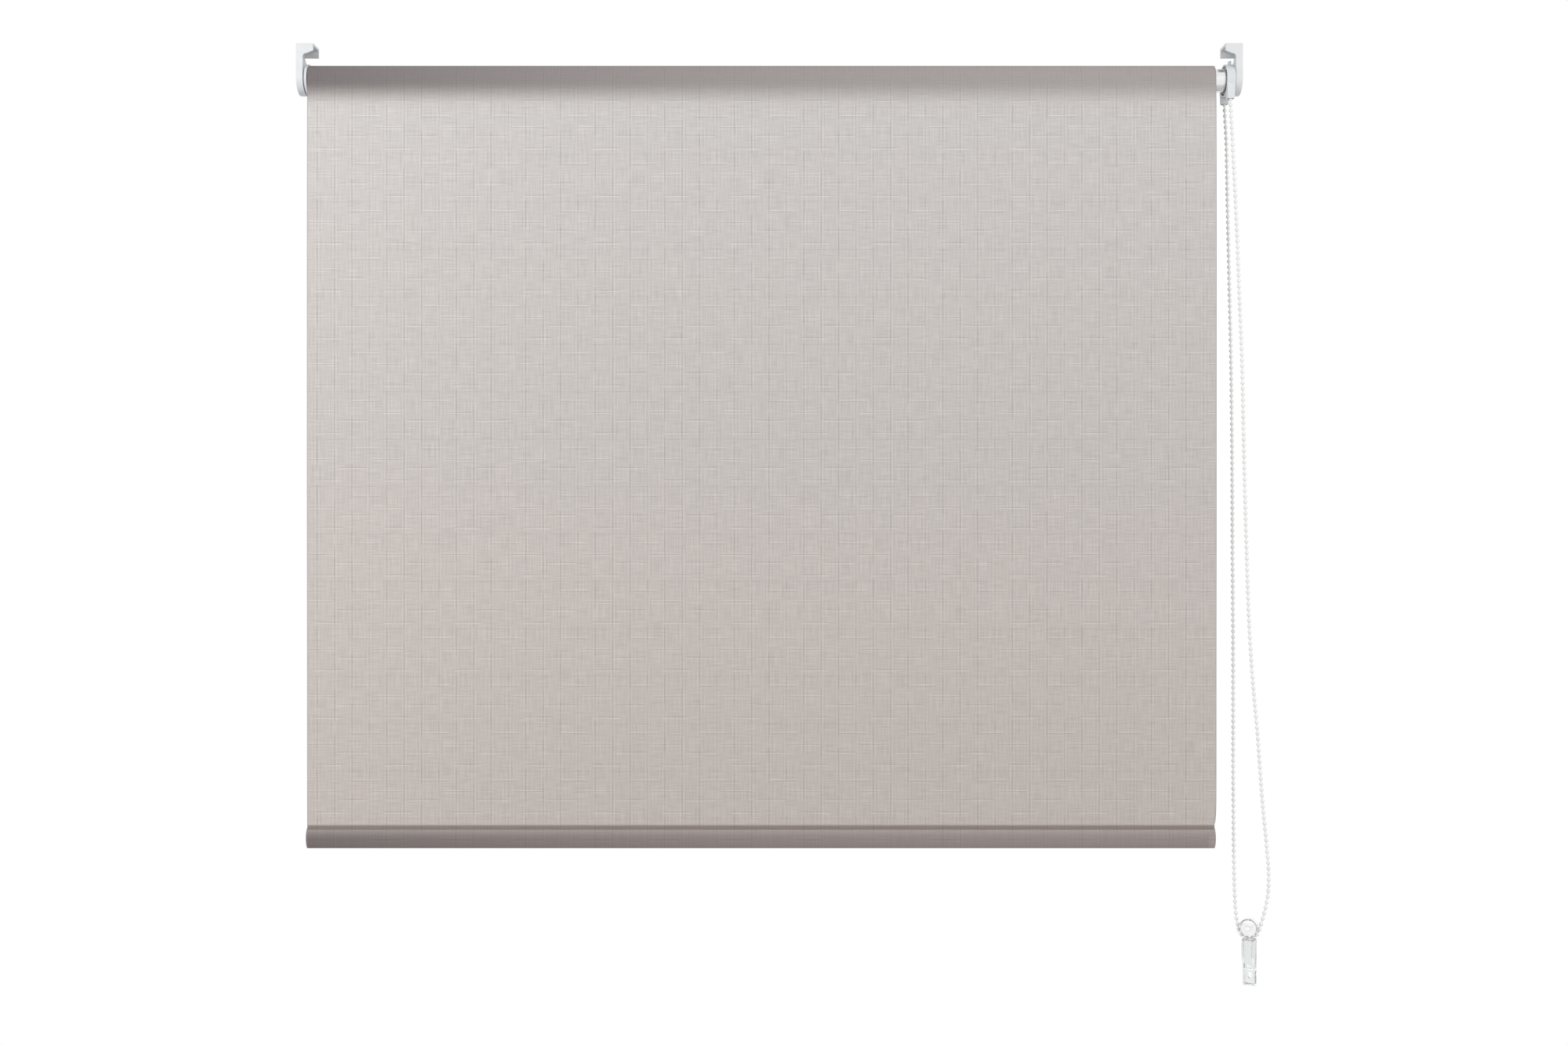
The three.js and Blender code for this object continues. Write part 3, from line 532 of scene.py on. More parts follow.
    def _band(
        self, nodes: Nodes, value: Socket, middle: float, size: float, repeat: float
    ) -> Node:
        """Mark a soft-edged band that comes back at every repeat: 1 in its middle, 0 beyond.

        Args:
            nodes: The material's nodes.
            value: The place, in metres.
            middle: The band's middle.
            size: Its width.
            repeat: From one band to the next.

        Returns:
            The share of the band, 0 to 1.
        """
        soft = self.soft_share * min(size, self.soft_below)
        off = nodes.add("Math", {0: value, 1: middle}, operation="SUBTRACT")
        off = nodes.add("Math", {0: off, 1: repeat / 2, 2: -repeat / 2}, operation="WRAP")
        off = nodes.add("Math", {0: off}, operation="ABSOLUTE")
        ends = {"Value": off, "From Min": size / 2 + soft, "From Max": size / 2 - soft}
        return nodes.add("MapRange", ends, interpolation_type="SMOOTHSTEP")


@dataclass(frozen=True)
class CoatedBack:
    """The cloth's window side: a knife-coated acrylic foam, matt, with the weave just felt."""

    name: str
    colour: str = "#cdc8c4"
    mottle: str = "#c3beb9"
    mottle_mm: float = 30.0
    pore_mm: float = 1.1
    relief_mm: float = 0.04
    roughness: float = 0.8

    def make(self) -> Material:
        """Build the coating with its mottled colour and its pores.

        Returns:
            The material.
        """
        material, nodes, surface = new_surface(self.name)
        place = nodes.add("TexCoord").outputs["UV"]
        mottle, pores = (
            nodes.add("TexNoise", {"Vector": place, "Scale": 1000 / size, "Detail": detail})
            for size, detail in ((self.mottle_mm, 3.0), (self.pore_mm, 2.0))
        )
        colours = {FIRST: linear(self.colour), SECOND: linear(self.mottle)}
        depth = {"Strength": 0.4, "Distance": self.relief_mm * MM}
        dress = {
            "Base Color": nodes.add("Mix", {FACTOR: mottle, **colours}, data_type="RGBA"),
            "Normal": nodes.add("Bump", {"Height": pores, **depth}),
            "Roughness": self.roughness,
        }
        nodes.feed(surface, dress)
        return material


class Slot(Enum):
    """The record's material slots."""

    WHITE = "white_plastic"
    GREY = "grey_plastic"
    CHAIN = "chain_plastic"
    CLEAR = "clear_plastic"
    STEEL = "steel"
    TUBE = "tube_aluminium"
    BAR = "bar_aluminium"
    CLOTH = "blackout_fabric"


Stock = dict[Slot, Material]

HARD_FINISHES: dict[Slot, MouldedPlastic | DrawnMetal | ClearPolycarbonate] = {
    Slot.WHITE: MouldedPlastic("white_moulded_abs", "#dfe1e3", "#d9dcde"),
    Slot.GREY: MouldedPlastic("grey_moulded_acetal", "#cdd0d0", "#c4c7c7", roughness=0.46),
    Slot.CHAIN: MouldedPlastic(
        "white_moulded_acetal_beads",
        "#f7f7f6",
        "#f1f1f0",
        roughness=0.28,
        ior=1.48,
        streak_mm=20.0,
        grain_mm=0.5,
        relief_mm=0.004,
    ),
    Slot.CLEAR: ClearPolycarbonate("clear_moulded_polycarbonate", "#e9ebeb"),
    Slot.STEEL: DrawnMetal("tempered_spring_steel", "#9a9da1", "#7f8388", roughness=0.32),
    Slot.TUBE: DrawnMetal("bright_rolled_aluminium", "#f2f2f1", "#dfe0e1", roughness=0.18),
    Slot.BAR: DrawnMetal("mill_extruded_aluminium", "#c4c7ca", "#b2b6ba", roughness=0.38),
}
THIN_CLEAR = ClearPolycarbonate("clear_thin_polycarbonate", "#fbfbfb", ior=1.28)
# Lit and shaded copies of the cloth: light and shade are painted into their colours
HANGING_CLOTH = SlubCloth("slub_cloth_hanging_painted_light", Backing.SKY)
WOUND_CLOTH = SlubCloth("slub_cloth_on_roll_painted_shade", Backing.ROLL)
# The pocket's own colours of painted shade
POCKET_CLOTH = SlubCloth(
    "slub_cloth_on_bar_painted_shade", Backing.BAR, shaded_left="#79706e", shaded_right="#948a87"
)
COATING = CoatedBack("acrylic_foam_coating")


def linked(name: str, data: bpy.types.ID) -> Object:
    """Make an object of its data, at the origin, and put it into the scene.

    Args:
        name: The object's name.
        data: Its mesh, camera or lamp.

    Returns:
        The object.
    """
    thing = bpy.data.objects.new(name, data)
    bpy.context.scene.collection.objects.link(thing)
    return thing


def dressed(name: str, data: bpy.types.Mesh, finish: Material, smooth_below: float) -> Object:
    """Make a piece of its mesh, shaded as smooth up to an angle.

    Args:
        name: The piece's name.
        data: Its mesh.
        finish: Its material.
        smooth_below: Angle between two faces, in degrees, below which they shade as one.

    Returns:
        The piece.
    """
    data.polygons.foreach_set("use_smooth", [True] * len(data.polygons))
    data.set_sharp_from_angle(angle=math.radians(smooth_below))
    data.materials.append(finish)
    data.update()
    return linked(name, data)


def new_piece(
    name: str,
    places: Array,
    faces: Faces,
    finish: Material,
    threads: Array | None = None,
    smooth_below: float = 30.0,
) -> Object:
    """Make a piece from corners and faces.

    Args:
        name: The piece's name.
        places: Corners, an n by 3 array in metres.
        faces: Corner numbers per face, turned outwards.
        finish: Its material.
        threads: Per corner, its UV place in metres, or nothing.
        smooth_below: Angle between two faces, in degrees, below which they shade as one.

    Returns:
        The piece, at the origin.
    """
    data = bpy.data.meshes.new(name)
    data.from_pydata(places.tolist(), [], faces)
    if threads is not None:
        corners = np.empty(len(data.loops), int)
        data.loops.foreach_get("vertex_index", corners)
        layer = data.uv_layers.new(name="threads")
        layer.data.foreach_set("uv", threads[corners].astype(np.float32).ravel())
    return dressed(name, data, finish, smooth_below)


def stand_for(piece: Object, node: str) -> None:
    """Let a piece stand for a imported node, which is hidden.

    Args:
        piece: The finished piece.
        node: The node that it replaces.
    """
    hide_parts(node)
    log.info("%s stands for %s, %d faces", piece.name, node, len(piece.data.polygons))


def settle(piece: Object, body: str, node: str) -> Object:
    """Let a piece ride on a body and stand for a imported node.

    Args:
        piece: The finished piece.
        body: The body that it moves with.
        node: The node that it replaces.

    Returns:
        The same piece.
    """
    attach(piece, body)
    stand_for(piece, node)
    return piece


def stretch(
    piece: Object
) -> None:
    """Bake a piece's placement into its mesh.

    Args:
        piece: The finished piece.
    """
    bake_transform(piece)


def ring_faces(stations: int, around: int) -> Faces:
    """Join closed rings of corners into a tube's wall: each face takes two neighbours of a
    ring and the same two of the next ring.

    Args:
        stations: Number of rings.
        around: Corners in each ring, anticlockwise as seen from the last ring.

    Returns:
        Four corner numbers per face.
    """
    ring, step = np.meshgrid(np.arange(stations - 1), np.arange(around), indexing="ij")
    here = ring * around + step
    beside = ring * around + (step + 1) % around
    quads = np.stack([here, beside, beside + around, here + around], axis=-1)
    return quads.reshape(-1, 4).tolist()


def swept(line: Array, radii: Array, across: Vector, sides: int) -> tuple[Array, Faces]:
    """Carry a circle along a line: at each place the circle of that place's radius stands
    square to the line, on the directions across x forward and forward x side.

    Args:
        line: Middle places, an n by 3 array in metres.
        radii: The circle's radius at each place.
        across: A direction that the line never takes.
        sides: Corners of the circle.

    Returns:
        Corners and outward faces, the ends closed.
    """
    forward = np.gradient(line, axis=0)
    forward /= np.linalg.norm(forward, axis=1, keepdims=True)
    side = np.cross(np.array(across), forward)
    side /= np.linalg.norm(side, axis=1, keepdims=True)
    up = np.cross(forward, side)
    turn = 2 * np.pi * np.arange(sides) / sides
    cosine, sine = np.cos(turn)[None, :, None], np.sin(turn)[None, :, None]
    spokes = side[:, None] * cosine + up[:, None] * sine
    places = (line[:, None] + spokes * radii[:, None, None]).reshape(-1, 3)
    last = (len(line) - 1) * sides
    caps = [list(range(sides))[::-1], list(range(last, last + sides))]
    return places, ring_faces(len(line), sides) + caps


def ribbon(
    outer: Array, inner: Array, across: Array, shift: Array | None = None
) -> tuple[Array, Faces]:
    """Draw a thin strip's section out along X: outer and inner are the two sides of the
    section, place by place, and the strip is closed at its rims and its ends.

    Args:
        outer: Section's outer side, n by 2 places of Y and Z.
        inner: Section's inner side, matched to the outer one.
        across: Places along X, in rising order.
        shift: Per X place and section place, added to Y, or nothing.

    Returns:
        Corners, X place by X place, and faces.
    """
    section = np.concatenate([outer, inner[::-1]])
    around, steps = len(section), len(outer)
    places = np.empty((len(across), around, 3))
    places[..., 0] = across[:, None]
    places[..., 1:] = section[None]
    if shift is not None:
        places[..., 1] += np.concatenate([shift, shift[:, ::-1]], axis=1)
    last = (len(across) - 1) * around
    caps = []
    for at in range(steps - 1):
        quad = [at, at + 1, around - 2 - at, around - 1 - at]
        caps.append(quad[::-1])
        caps.append([last + corner for corner in quad])
    return places.reshape(-1, 3), ring_faces(len(across), around) + caps


def turned_outwards(piece: Object) -> None:
    """Recalculate a closed piece's normals so that they point outwards.

    Args:
        piece: The piece.
    """
    build = bmesh.new()
    build.from_mesh(piece.data)
    bmesh.ops.recalc_face_normals(build, faces=build.faces)
    build.to_mesh(piece.data)
    build.free()
    piece.data.update()


@dataclass(frozen=True)
class Moulding:
    """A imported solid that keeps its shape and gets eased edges. Its angles are in degrees."""

    node: str
    name: str
    body: str
    slot: Slot
    edge: float = 0.0
    smooth_below: float = 32.0
    flat_below: float = 0.6
    weld_below: float = 0.002 * MM

    def make(self, stock: Stock) -> Object:
        """Copy the solid, weld its loose triangles, ease its edges and dress it.

        Args:
            stock: The hard finishes.

        Returns:
            The new piece.
        """
        build = bmesh.new()
        build.from_mesh(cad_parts[self.node].data)
        bmesh.ops.remove_doubles(build, verts=build.verts, dist=self.weld_below)
        flat = math.radians(self.flat_below)
        bmesh.ops.dissolve_limit(build, angle_limit=flat, verts=build.verts, edges=build.edges)
        data = bpy.data.meshes.new(self.name)
        build.to_mesh(data)
        build.free()
        piece = dressed(self.name, data, stock[self.slot], self.smooth_below)
        if self.edge:
            ease = piece.modifiers.new("eased_edges", "BEVEL")
            ease.width = self.edge
            ease.segments = 2
            ease.limit_method = "ANGLE"
            ease.angle_limit = math.radians(self.smooth_below)
            ease.harden_normals = True
        return settle(piece, self.body, self.node)


@dataclass
class Studio:
    """The camera, a plain pale floor, two soft lamps and white surroundings."""

    camera_place: Place = (0.5064, -1.8074, -0.5038)
    lens_mm: float = 39.04
    floor_height: float = -1.45
    floor_middle: tuple[float, float] = (0.49, 0.0)
    floor_size: tuple[float, float] = (3.2, 2.2)
    floor_colour: str = "#e8e8e7"
    floor_cloud: str = "#e5e5e4"
    floor_cloud_mm: float = 400.0
    floor_roughness: float = 0.9
    world_strength: float = 0.56
    key_place: Place = (-1.0, -1.85, 0.45)
    key_watts: float = 24.0
    fill_place: Place = (2.45, -1.75, 0.34)
    fill_watts: float = 20.0
    lamp_size: float = 1.5
    aim: Place = (0.45, 0.0, -0.4)

    def place_camera(self) -> None:
        """Put the camera at the photograph's viewing angle, level and square to the blind."""
        data = bpy.data.cameras.new("camera")
        data.sensor_width = 36.0
        data.lens = self.lens_mm
        camera = linked("camera", data)
        camera.location = self.camera_place
        camera.rotation_euler = (math.pi / 2, 0.0, 0.0)
        bpy.context.scene.camera = camera

    def light(self) -> None:
        """Hang the soft key at the upper left and the soft fill at the right."""
        for name, place, watts in (
            ("key", self.key_place, self.key_watts),
            ("fill", self.fill_place, self.fill_watts),
        ):
            data = bpy.data.lights.new(name, "AREA")
            data.shape = "SQUARE"
            data.size = self.lamp_size
            data.energy = watts
            lamp = linked(name, data)
            lamp.location = place
            towards = Vector(self.aim) - Vector(place)
            lamp.rotation_euler = towards.to_track_quat("-Z", "Y").to_euler()

    def surround(self) -> None:
        """White to the eye, to gloss and through clear plastic, and a level light otherwise."""
        world = bpy.data.worlds.new("white_surroundings")
        bpy.context.scene.world = world
        world.use_nodes = True
        nodes = Nodes(world.node_tree)
        path = nodes.add("LightPath")
        seen: Value = path.outputs["Is Camera Ray"]
        for ray in ("Is Glossy Ray", "Is Transmission Ray"):
            seen = nodes.add("Math", {0: seen, 1: path.outputs[ray]}, operation="MAXIMUM")
        ends = {"To Min": self.world_strength, "To Max": 1.0}
        strength = nodes.add("MapRange", {"Value": seen, **ends})
        light = {"Color": linear("#ffffff"), "Strength": strength}
        nodes.feed(world.node_tree.nodes["Background"], light)

    def lay_floor(self) -> None:
        """Lay the plain pale floor, of painted plaster, under the blind."""
        x, y = self.floor_middle
        width, depth = self.floor_size
        places = [
            [x + side * width / 2, y + end * depth / 2, self.floor_height]
            for side, end in ((-1, -1), (1, -1), (1, 1), (-1, 1))
        ]
        material, nodes, surface = new_surface("painted_plaster")
        place = nodes.add("TexCoord").outputs["Object"]
        clouds = {"Scale": 1000 / self.floor_cloud_mm, "Detail": 3.0}
        cloud = nodes.add("TexNoise", {"Vector": place, **clouds})
        colours = {FIRST: linear(self.floor_colour), SECOND: linear(self.floor_cloud)}
        colour = nodes.add("Mix", {FACTOR: cloud, **colours}, data_type="RGBA")
        nodes.feed(surface, {"Base Color": colour, "Roughness": self.floor_roughness})
        new_piece("floor", np.array(places), [[0, 1, 2, 3]], material)

    def set_up(self) -> None:
        """Light the scene and keep its colours as written."""
        self.light()
        self.surround()
        self.lay_floor()
        bpy.context.scene.view_settings.view_transform = "Standard"


@dataclass
class BeadChain:
    """An endless chain of 4.5 mm beads at a pitch of 6 mm, moulded on one polyester cord."""

    finish: Material
    bead_radius: float = 2.25 * MM
    link_radius: float = 0.8 * MM
    pitch: float = 6 * MM
    sides: int = 10
    steps_a_span: int = 60
    smooth_below: float = 80.0
    wheel_pockets: int = 13
    beads_on_wheel: int = 11
    chain_x: float = 978.7 * MM
    spout_foot: float = 22 * MM
    gap: float = 0.3 * MM
    pulley_shift: float = 22.8 * MM
    pulley_drop: float = 902 * MM
    pulley_turn: float = math.radians(28)
    loop_beads: int = 11
    outline_shares: tuple[float, ...] = (-0.93, -0.6, 0.0, 0.6, 0.93)
    radius_shares: tuple[float, ...] = (0.36, 0.8, 1.0, 0.8, 0.36)
    # Hanging strands: [right of the wheel's middle, behind the axis, above the axis], in mm
    back_strand: tuple[Place, ...] = (
        *((2.1, 12, -62), (3.2, 11.4, -130), (4.8, 10.7, -208), (6.5, 9.9, -293)),
        *((7.5, 9.1, -393), (7.7, 8.3, -494), (8.1, 7.5, -578), (8.1, 6.8, -662)),
        *((8, 6.2, -737), (8.3, 5.6, -812), (9, 5.1, -863), (10.9, 4.9, -892)),
    )
    front_strand: tuple[Place, ...] = (
        *((37.7, -4.9, -886), (41.7, -5.1, -866), (42.5, -5.3, -843), (39.9, -5.6, -810)),
        *((35.5, -6, -764), (29.9, -6.6, -690), (25.3, -7, -640), (21.3, -7.5, -580)),
        *((18.2, -8.2, -498), (15.5, -9, -403), (12.7, -10, -290), (10.1, -10.5, -232)),
        *((7.5, -11, -166), (5.1, -11.5, -117), (2.5, -11.9, -68)),
    )
    bend_shares: tuple[float, ...] = (-0.39, -0.25, -0.11, 0.0, 0.11, 0.25, 0.39)
    wheel_radius: float = field(init=False)
    start_below: float = field(init=False)

    def __post_init__(self) -> None:
        """Work out the wheel's pitch radius and where the strands leave it."""
        self.wheel_radius = self.pitch * self.wheel_pockets / (2 * math.pi)
        quarter = math.pi / 2 * self.wheel_radius
        self.start_below = self.beads_on_wheel / 2 * self.pitch - quarter

    def _knots(self) -> Array:
        """Gather the route's places: back strand, bend round the pulley, front strand.

        The bend is a circle of the pulley's pitch radius, whose plane is turned about Z.

        Returns:
            Places in metres.
        """
        below = self.start_below + self.gap
        radius = self.pitch * self.loop_beads / (2 * math.pi)
        wheel = self.wheel_radius
        turn = np.pi * np.array(self.bend_shares)
        out = radius * np.sin(turn)
        across, back = out * math.cos(self.pulley_turn), -out * math.sin(self.pulley_turn)
        height = -self.pulley_drop - radius * np.cos(turn)
        bend = np.stack([self.pulley_shift + across, back, height], axis=1)
        knots = np.concatenate(
            [
                [[0, wheel, -below], [0, wheel, -self.spout_foot]],
                np.array(self.back_strand) * MM,
                bend,
                np.array(self.front_strand) * MM,
                [[0, -wheel, -self.spout_foot], [0, -wheel, -below]],
            ]
        )
        return knots + np.array([self.chain_x, AXIS_Y, AXIS_Z])

    def _route(self) -> Array:
        """Run a smooth line through the route's places.

        Between two places it is the cubic whose ends and end slopes are those of a centripetal
        Catmull-Rom spline: each slope weighs its two neighbours by the square root of their
        distances. Beyond the ends the line goes on as it came.

        Returns:
            Places along the line, in metres.
        """
        knots = self._knots()
        first, last = 2 * knots[0] - knots[1], 2 * knots[-1] - knots[-2]
        points = np.concatenate([[first], knots, [last]])
        a, b, c, d = points[:-3], points[1:-2], points[2:-1], points[3:]
        before, here, after = (
            np.sqrt(np.linalg.norm(q - p, axis=1))[:, None] for p, q in ((a, b), (b, c), (c, d))
        )
        leave = ((b - a) / before - (c - a) / (before + here) + (c - b) / here) * here
        arrive = ((c - b) / here - (d - b) / (here + after) + (d - c) / after) * here
        t = (np.arange(self.steps_a_span) / self.steps_a_span)[None, :, None]
        b, c, leave, arrive = b[:, None], c[:, None], leave[:, None], arrive[:, None]
        square, cube = 3 * c - 3 * b - 2 * leave - arrive, 2 * b - 2 * c + leave + arrive
        spans = b + leave * t + square * t**2 + cube * t**3
        return np.concatenate([spans.reshape(-1, 3), knots[-1:]])

    def _stations(
        self, start: float, end: float, first: float, pitch: float
    ) -> tuple[Array, Array]:
        """Lay bead outlines along a stretch of cord.

        Args:
            start: Where the stretch begins, in metres.
            end: Where it ends.
            first: Where its first bead's middle is.
            pitch: Distance between two beads.

        Returns:
            Distances along the cord and the chain's radius at each.
        """
        beads = np.arange(first, end, pitch)
        along = np.array(self.outline_shares) * self.bead_radius
        at = (beads[:, None] + along).ravel()
        radii = np.tile(np.array(self.radius_shares) * self.bead_radius, len(beads))
        kept = (at > start) & (at < end)
        at = np.concatenate([[start], at[kept], [end]])
        return at, np.concatenate([[self.link_radius], radii[kept], [self.link_radius]])

    def _lay_beads(self, name: str, line: Array, radii: Array, across: Vector, node: str) -> Object:
        """Carry the beads' outline along a line and let the beads ride on the brackets.

        Args:
            name: The piece's name.
            line: Middle places along the cord.
            radii: The chain's radius at each.
            across: A direction that the cord never takes.
            node: The node that the piece replaces.

        Returns:
            The beads.
        """
        places, faces = swept(line, radii, across, self.sides)
        piece = new_piece(name, places, faces, self.finish, smooth_below=self.smooth_below)
        return settle(piece, "brackets", node)

    def make(self, pieces_on_it: list[Object]) -> None:
        """Hang the loop and lay the beads over the wheel.

        Args:
            pieces_on_it: The tensioner's pieces, which hang in the loop. Not used.
        """
        self._hang_loop()
        self._wrap_wheel()

    def _hang_loop(self) -> None:
        """Hang the free loop, from the back spout round the pulley to the front spout.
        """
        line = self._route()
        run = np.concatenate([[0], np.cumsum(np.linalg.norm(np.diff(line, axis=0), axis=1))])
        length = run[-1]
        count = round((length + 2 * self.gap) / self.pitch)
        pitch = (length + 2 * self.gap) / count
        at, radii = self._stations(0.0, length, pitch / 2 - self.gap, pitch)
        middle = np.stack([np.interp(at, run, line[:, axis]) for axis in range(3)], axis=1)
        axis = Vector((math.sin(self.pulley_turn), math.cos(self.pulley_turn), 0))
        piece = self._lay_beads("bead_chain_loop", middle, radii, axis, "chain_loop")
        log.info("loop of %d beads, %.4f m", count, length)

    def _wrap_wheel(self) -> None:
        """Lay the beads over the wheel: a half circle of the pitch radius between two straight
        stretches that run down into the spouts."""
        quarter = math.pi / 2 * self.wheel_radius
        end = quarter + self.start_below
        count = self.beads_on_wheel // 2
        at, radii = self._stations(-end, end, -count * self.pitch, self.pitch)
        past = np.abs(at) - quarter
        side = np.sign(at)
        angle = at / self.wheel_radius
        y = np.where(past > 0, -side * self.wheel_radius, -self.wheel_radius * np.sin(angle))
        z = np.where(past > 0, -past, self.wheel_radius * np.cos(angle))
        line = np.stack([np.full_like(at, self.chain_x), y + AXIS_Y, z + AXIS_Z], axis=1)
        across = Vector((1, 0, 0))
        self._lay_beads("bead_chain_on_wheel", line, radii, across, "chain_on_wheel")


@dataclass
class Cloth:
    """The blackout cloth: wound on the tube and hanging from the roll's front."""

    left: float = 3 * MM
    width: float = 960 * MM
    thickness: float = 0.34 * MM
    first_radius: float = 12.65 * MM
    turn_pitch: float = 0.38 * MM
    inner_turns: float = 6.0
    outer_radius: float = 15.65 * MM
    wrap_angle: float = 2 * math.pi - 0.32
    drop: float = 789 * MM
    columns: int = 65
    rows: int = 158
    steps_a_turn: int = 48
    wrap_places: int = 97
    wander: float = 0.15 * MM
    wander_paces: tuple[float, float] = (5.1, 1.7)
    ripple: float = 0.35 * MM
    edge_curl: float = 0.9 * MM
    curl_width: float = 22 * MM
    # Per wave: size, waves across the width, waves down the drop, phase
    ripple_waves: tuple[tuple[float, float, float, float], ...] = (
        (1.0, 2.3, 0.4, 0.7),
        (0.6, 5.1, -0.8, 2.1),
        (0.4, 0.9, 2.2, 0.0),
    )
    loose_power: float = 0.8
    loose_pace: float = 12.0
    foot_draw: float = 1.8 * MM
    foot_draw_height: float = 7 * MM
    foot_draw_width: float = 40 * MM
    front_slack: float = 3 * MM
    facing: float = 0.5

    @property
    def sheet_middle(self) -> float:
        """Middle of the hanging cloth's thickness, in front of the roller's axis."""
        return self.outer_radius - self.thickness / 2

    def make(self, hem: Object) -> None:
        """Wind the roll and hang the sheet.

        Args:
            hem: The pocket at the sheet's foot. Not used.
        """
        coating = COATING.make()
        wound = self._wind(WOUND_CLOTH.make(), coating)
        self._hang(HANGING_CLOTH.make(), coating)

    def _wind(self, finish: Material, coating: Material) -> Object:
        """Wind the inner turns: a spiral whose radius grows by one turn pitch per turn, its
        edges out of line from turn to turn by the product of a sine and a cosine, as on a roll.

        Args:
            finish: The woven side's material.
            coating: The coated side's material.

        Returns:
            The wound cloth.
        """
        steps = int(self.inner_turns * self.steps_a_turn)
        turn = np.linspace(0, self.inner_turns, steps + 1)
        radius = self.first_radius + self.turn_pitch * turn
        angle = np.pi + 2 * np.pi * (self.inner_turns - turn)
        spoke = np.stack([np.cos(angle), -np.sin(angle)], axis=1)
        inner = spoke * radius[:, None] + np.array([AXIS_Y, AXIS_Z])
        outer = inner + spoke * self.thickness
        across = np.array([self.left, self.left + self.width])
        places, faces = ribbon(outer, inner, across)
        fast, slow = self.wander_paces
        wander = self.wander * np.sin(fast * turn) * np.cos(slow * turn)
        places[:, 0] += np.tile(np.concatenate([wander, wander[::-1]]), 2)
        run = -2 * np.pi * np.cumsum(np.gradient(turn) * radius)[::-1]
        down = np.tile(np.concatenate([run, run[::-1]]), 2)
        threads = np.stack([places[:, 0] - self.left, down], axis=1)
        piece = new_piece("wound_cloth", places, faces, finish, threads)
        turned_outwards(piece)
        piece.data.materials.append(coating)
        return settle(piece, "roller", "fabric_roll")

    def _hang(self, finish: Material, coating: Material) -> None:
        """Hang the sheet: once round the roll as its outermost turn, off its front and down.

        The drop has slow ripples, sums of sines across and down, and its side edges curl a
        little to the room, by an amount that falls off exponentially from the edge. Both go
        with a power of the half sine of the way down, and start evenly under the roll. The weld
        draws the right edge in, by an amount that falls off exponentially with the height.

        Args:
            finish: The woven side's material.
            coating: The coated side's material.
        """
        angle = np.linspace(np.pi - self.wrap_angle, np.pi, self.wrap_places)
        spoke = np.stack([np.cos(angle), np.sin(angle)], axis=1)
        fall = np.linspace(0, self.drop, self.rows + 1)[1:]
        straight = np.tile([-1.0, 0.0], (self.rows, 1))
        away = np.concatenate([spoke, straight])
        base = np.concatenate([0 * spoke, np.stack([0 * fall, -fall], axis=1)])
        base += np.array([AXIS_Y, AXIS_Z])
        outer = base + away * self.outer_radius
        inner = base + away * (self.outer_radius - self.thickness)
        run = np.concatenate([(angle - np.pi) * self.sheet_middle, fall])
        across = np.linspace(self.left, self.left + self.width, self.columns)
        share = np.clip(run / self.drop, 0, 1)
        x = ((across - self.left) / self.width)[:, None]
        loose = np.sin(np.pi * share) ** self.loose_power
        loose = loose * np.clip(share * self.loose_pace, 0, 1)
        ripple = sum(
            size * np.sin(2 * np.pi * (sideways * x + downwards * share) + phase)
            for size, sideways, downwards, phase in self.ripple_waves
        )
        curl = np.exp(-np.minimum(x, 1 - x) * self.width / self.curl_width)
        shift = -loose * (self.ripple * ripple + self.edge_curl * curl)
        places, faces = ribbon(outer, inner, across, shift)
        down = np.tile(np.concatenate([run, run[::-1]]), len(across))
        threads = np.stack([places[:, 0] - self.left, down], axis=1)
        drawn = self.foot_draw * np.exp((run - self.drop) / self.foot_draw_height)
        drawn = drawn * np.clip(1 - (1 - x) * self.width / self.foot_draw_width, 0, 1)
        places[:, 0] -= np.concatenate([drawn, drawn[:, ::-1]], axis=1).ravel()
        piece = new_piece("hanging_cloth", places, faces, finish, threads)
        turned_outwards(piece)
        self._coat_back(piece, coating)
        stretch(piece)
        stand_for(piece, "fabric_drop")

    def _coat_back(self, piece: Object, coating: Material) -> None:
        """Give the faces that look to the wall, or in to the tube, the coated finish.

        Args:
            piece: The cloth.
            coating: The coated side's material.
        """
        piece.data.materials.append(coating)
        faces = piece.data.polygons
        middles, normals = np.empty((2, len(faces), 3))
        faces.foreach_get("center", middles.ravel())
        faces.foreach_get("normal", normals.ravel())
        from_axis = middles - np.array([0, AXIS_Y, AXIS_Z])
        from_axis[:, 0] = 0
        inwards = (normals * from_axis).sum(axis=1) < 0
        below = middles[:, 2] < AXIS_Z
        hanging = below & (np.abs(from_axis[:, 1] + self.sheet_middle) < self.front_slack)
        wound = inwards & (np.abs(normals[:, 0]) < self.facing)
        back = np.where(hanging, normals[:, 1] > self.facing, wound)
        faces.foreach_set("material_index", back.astype(np.int32))


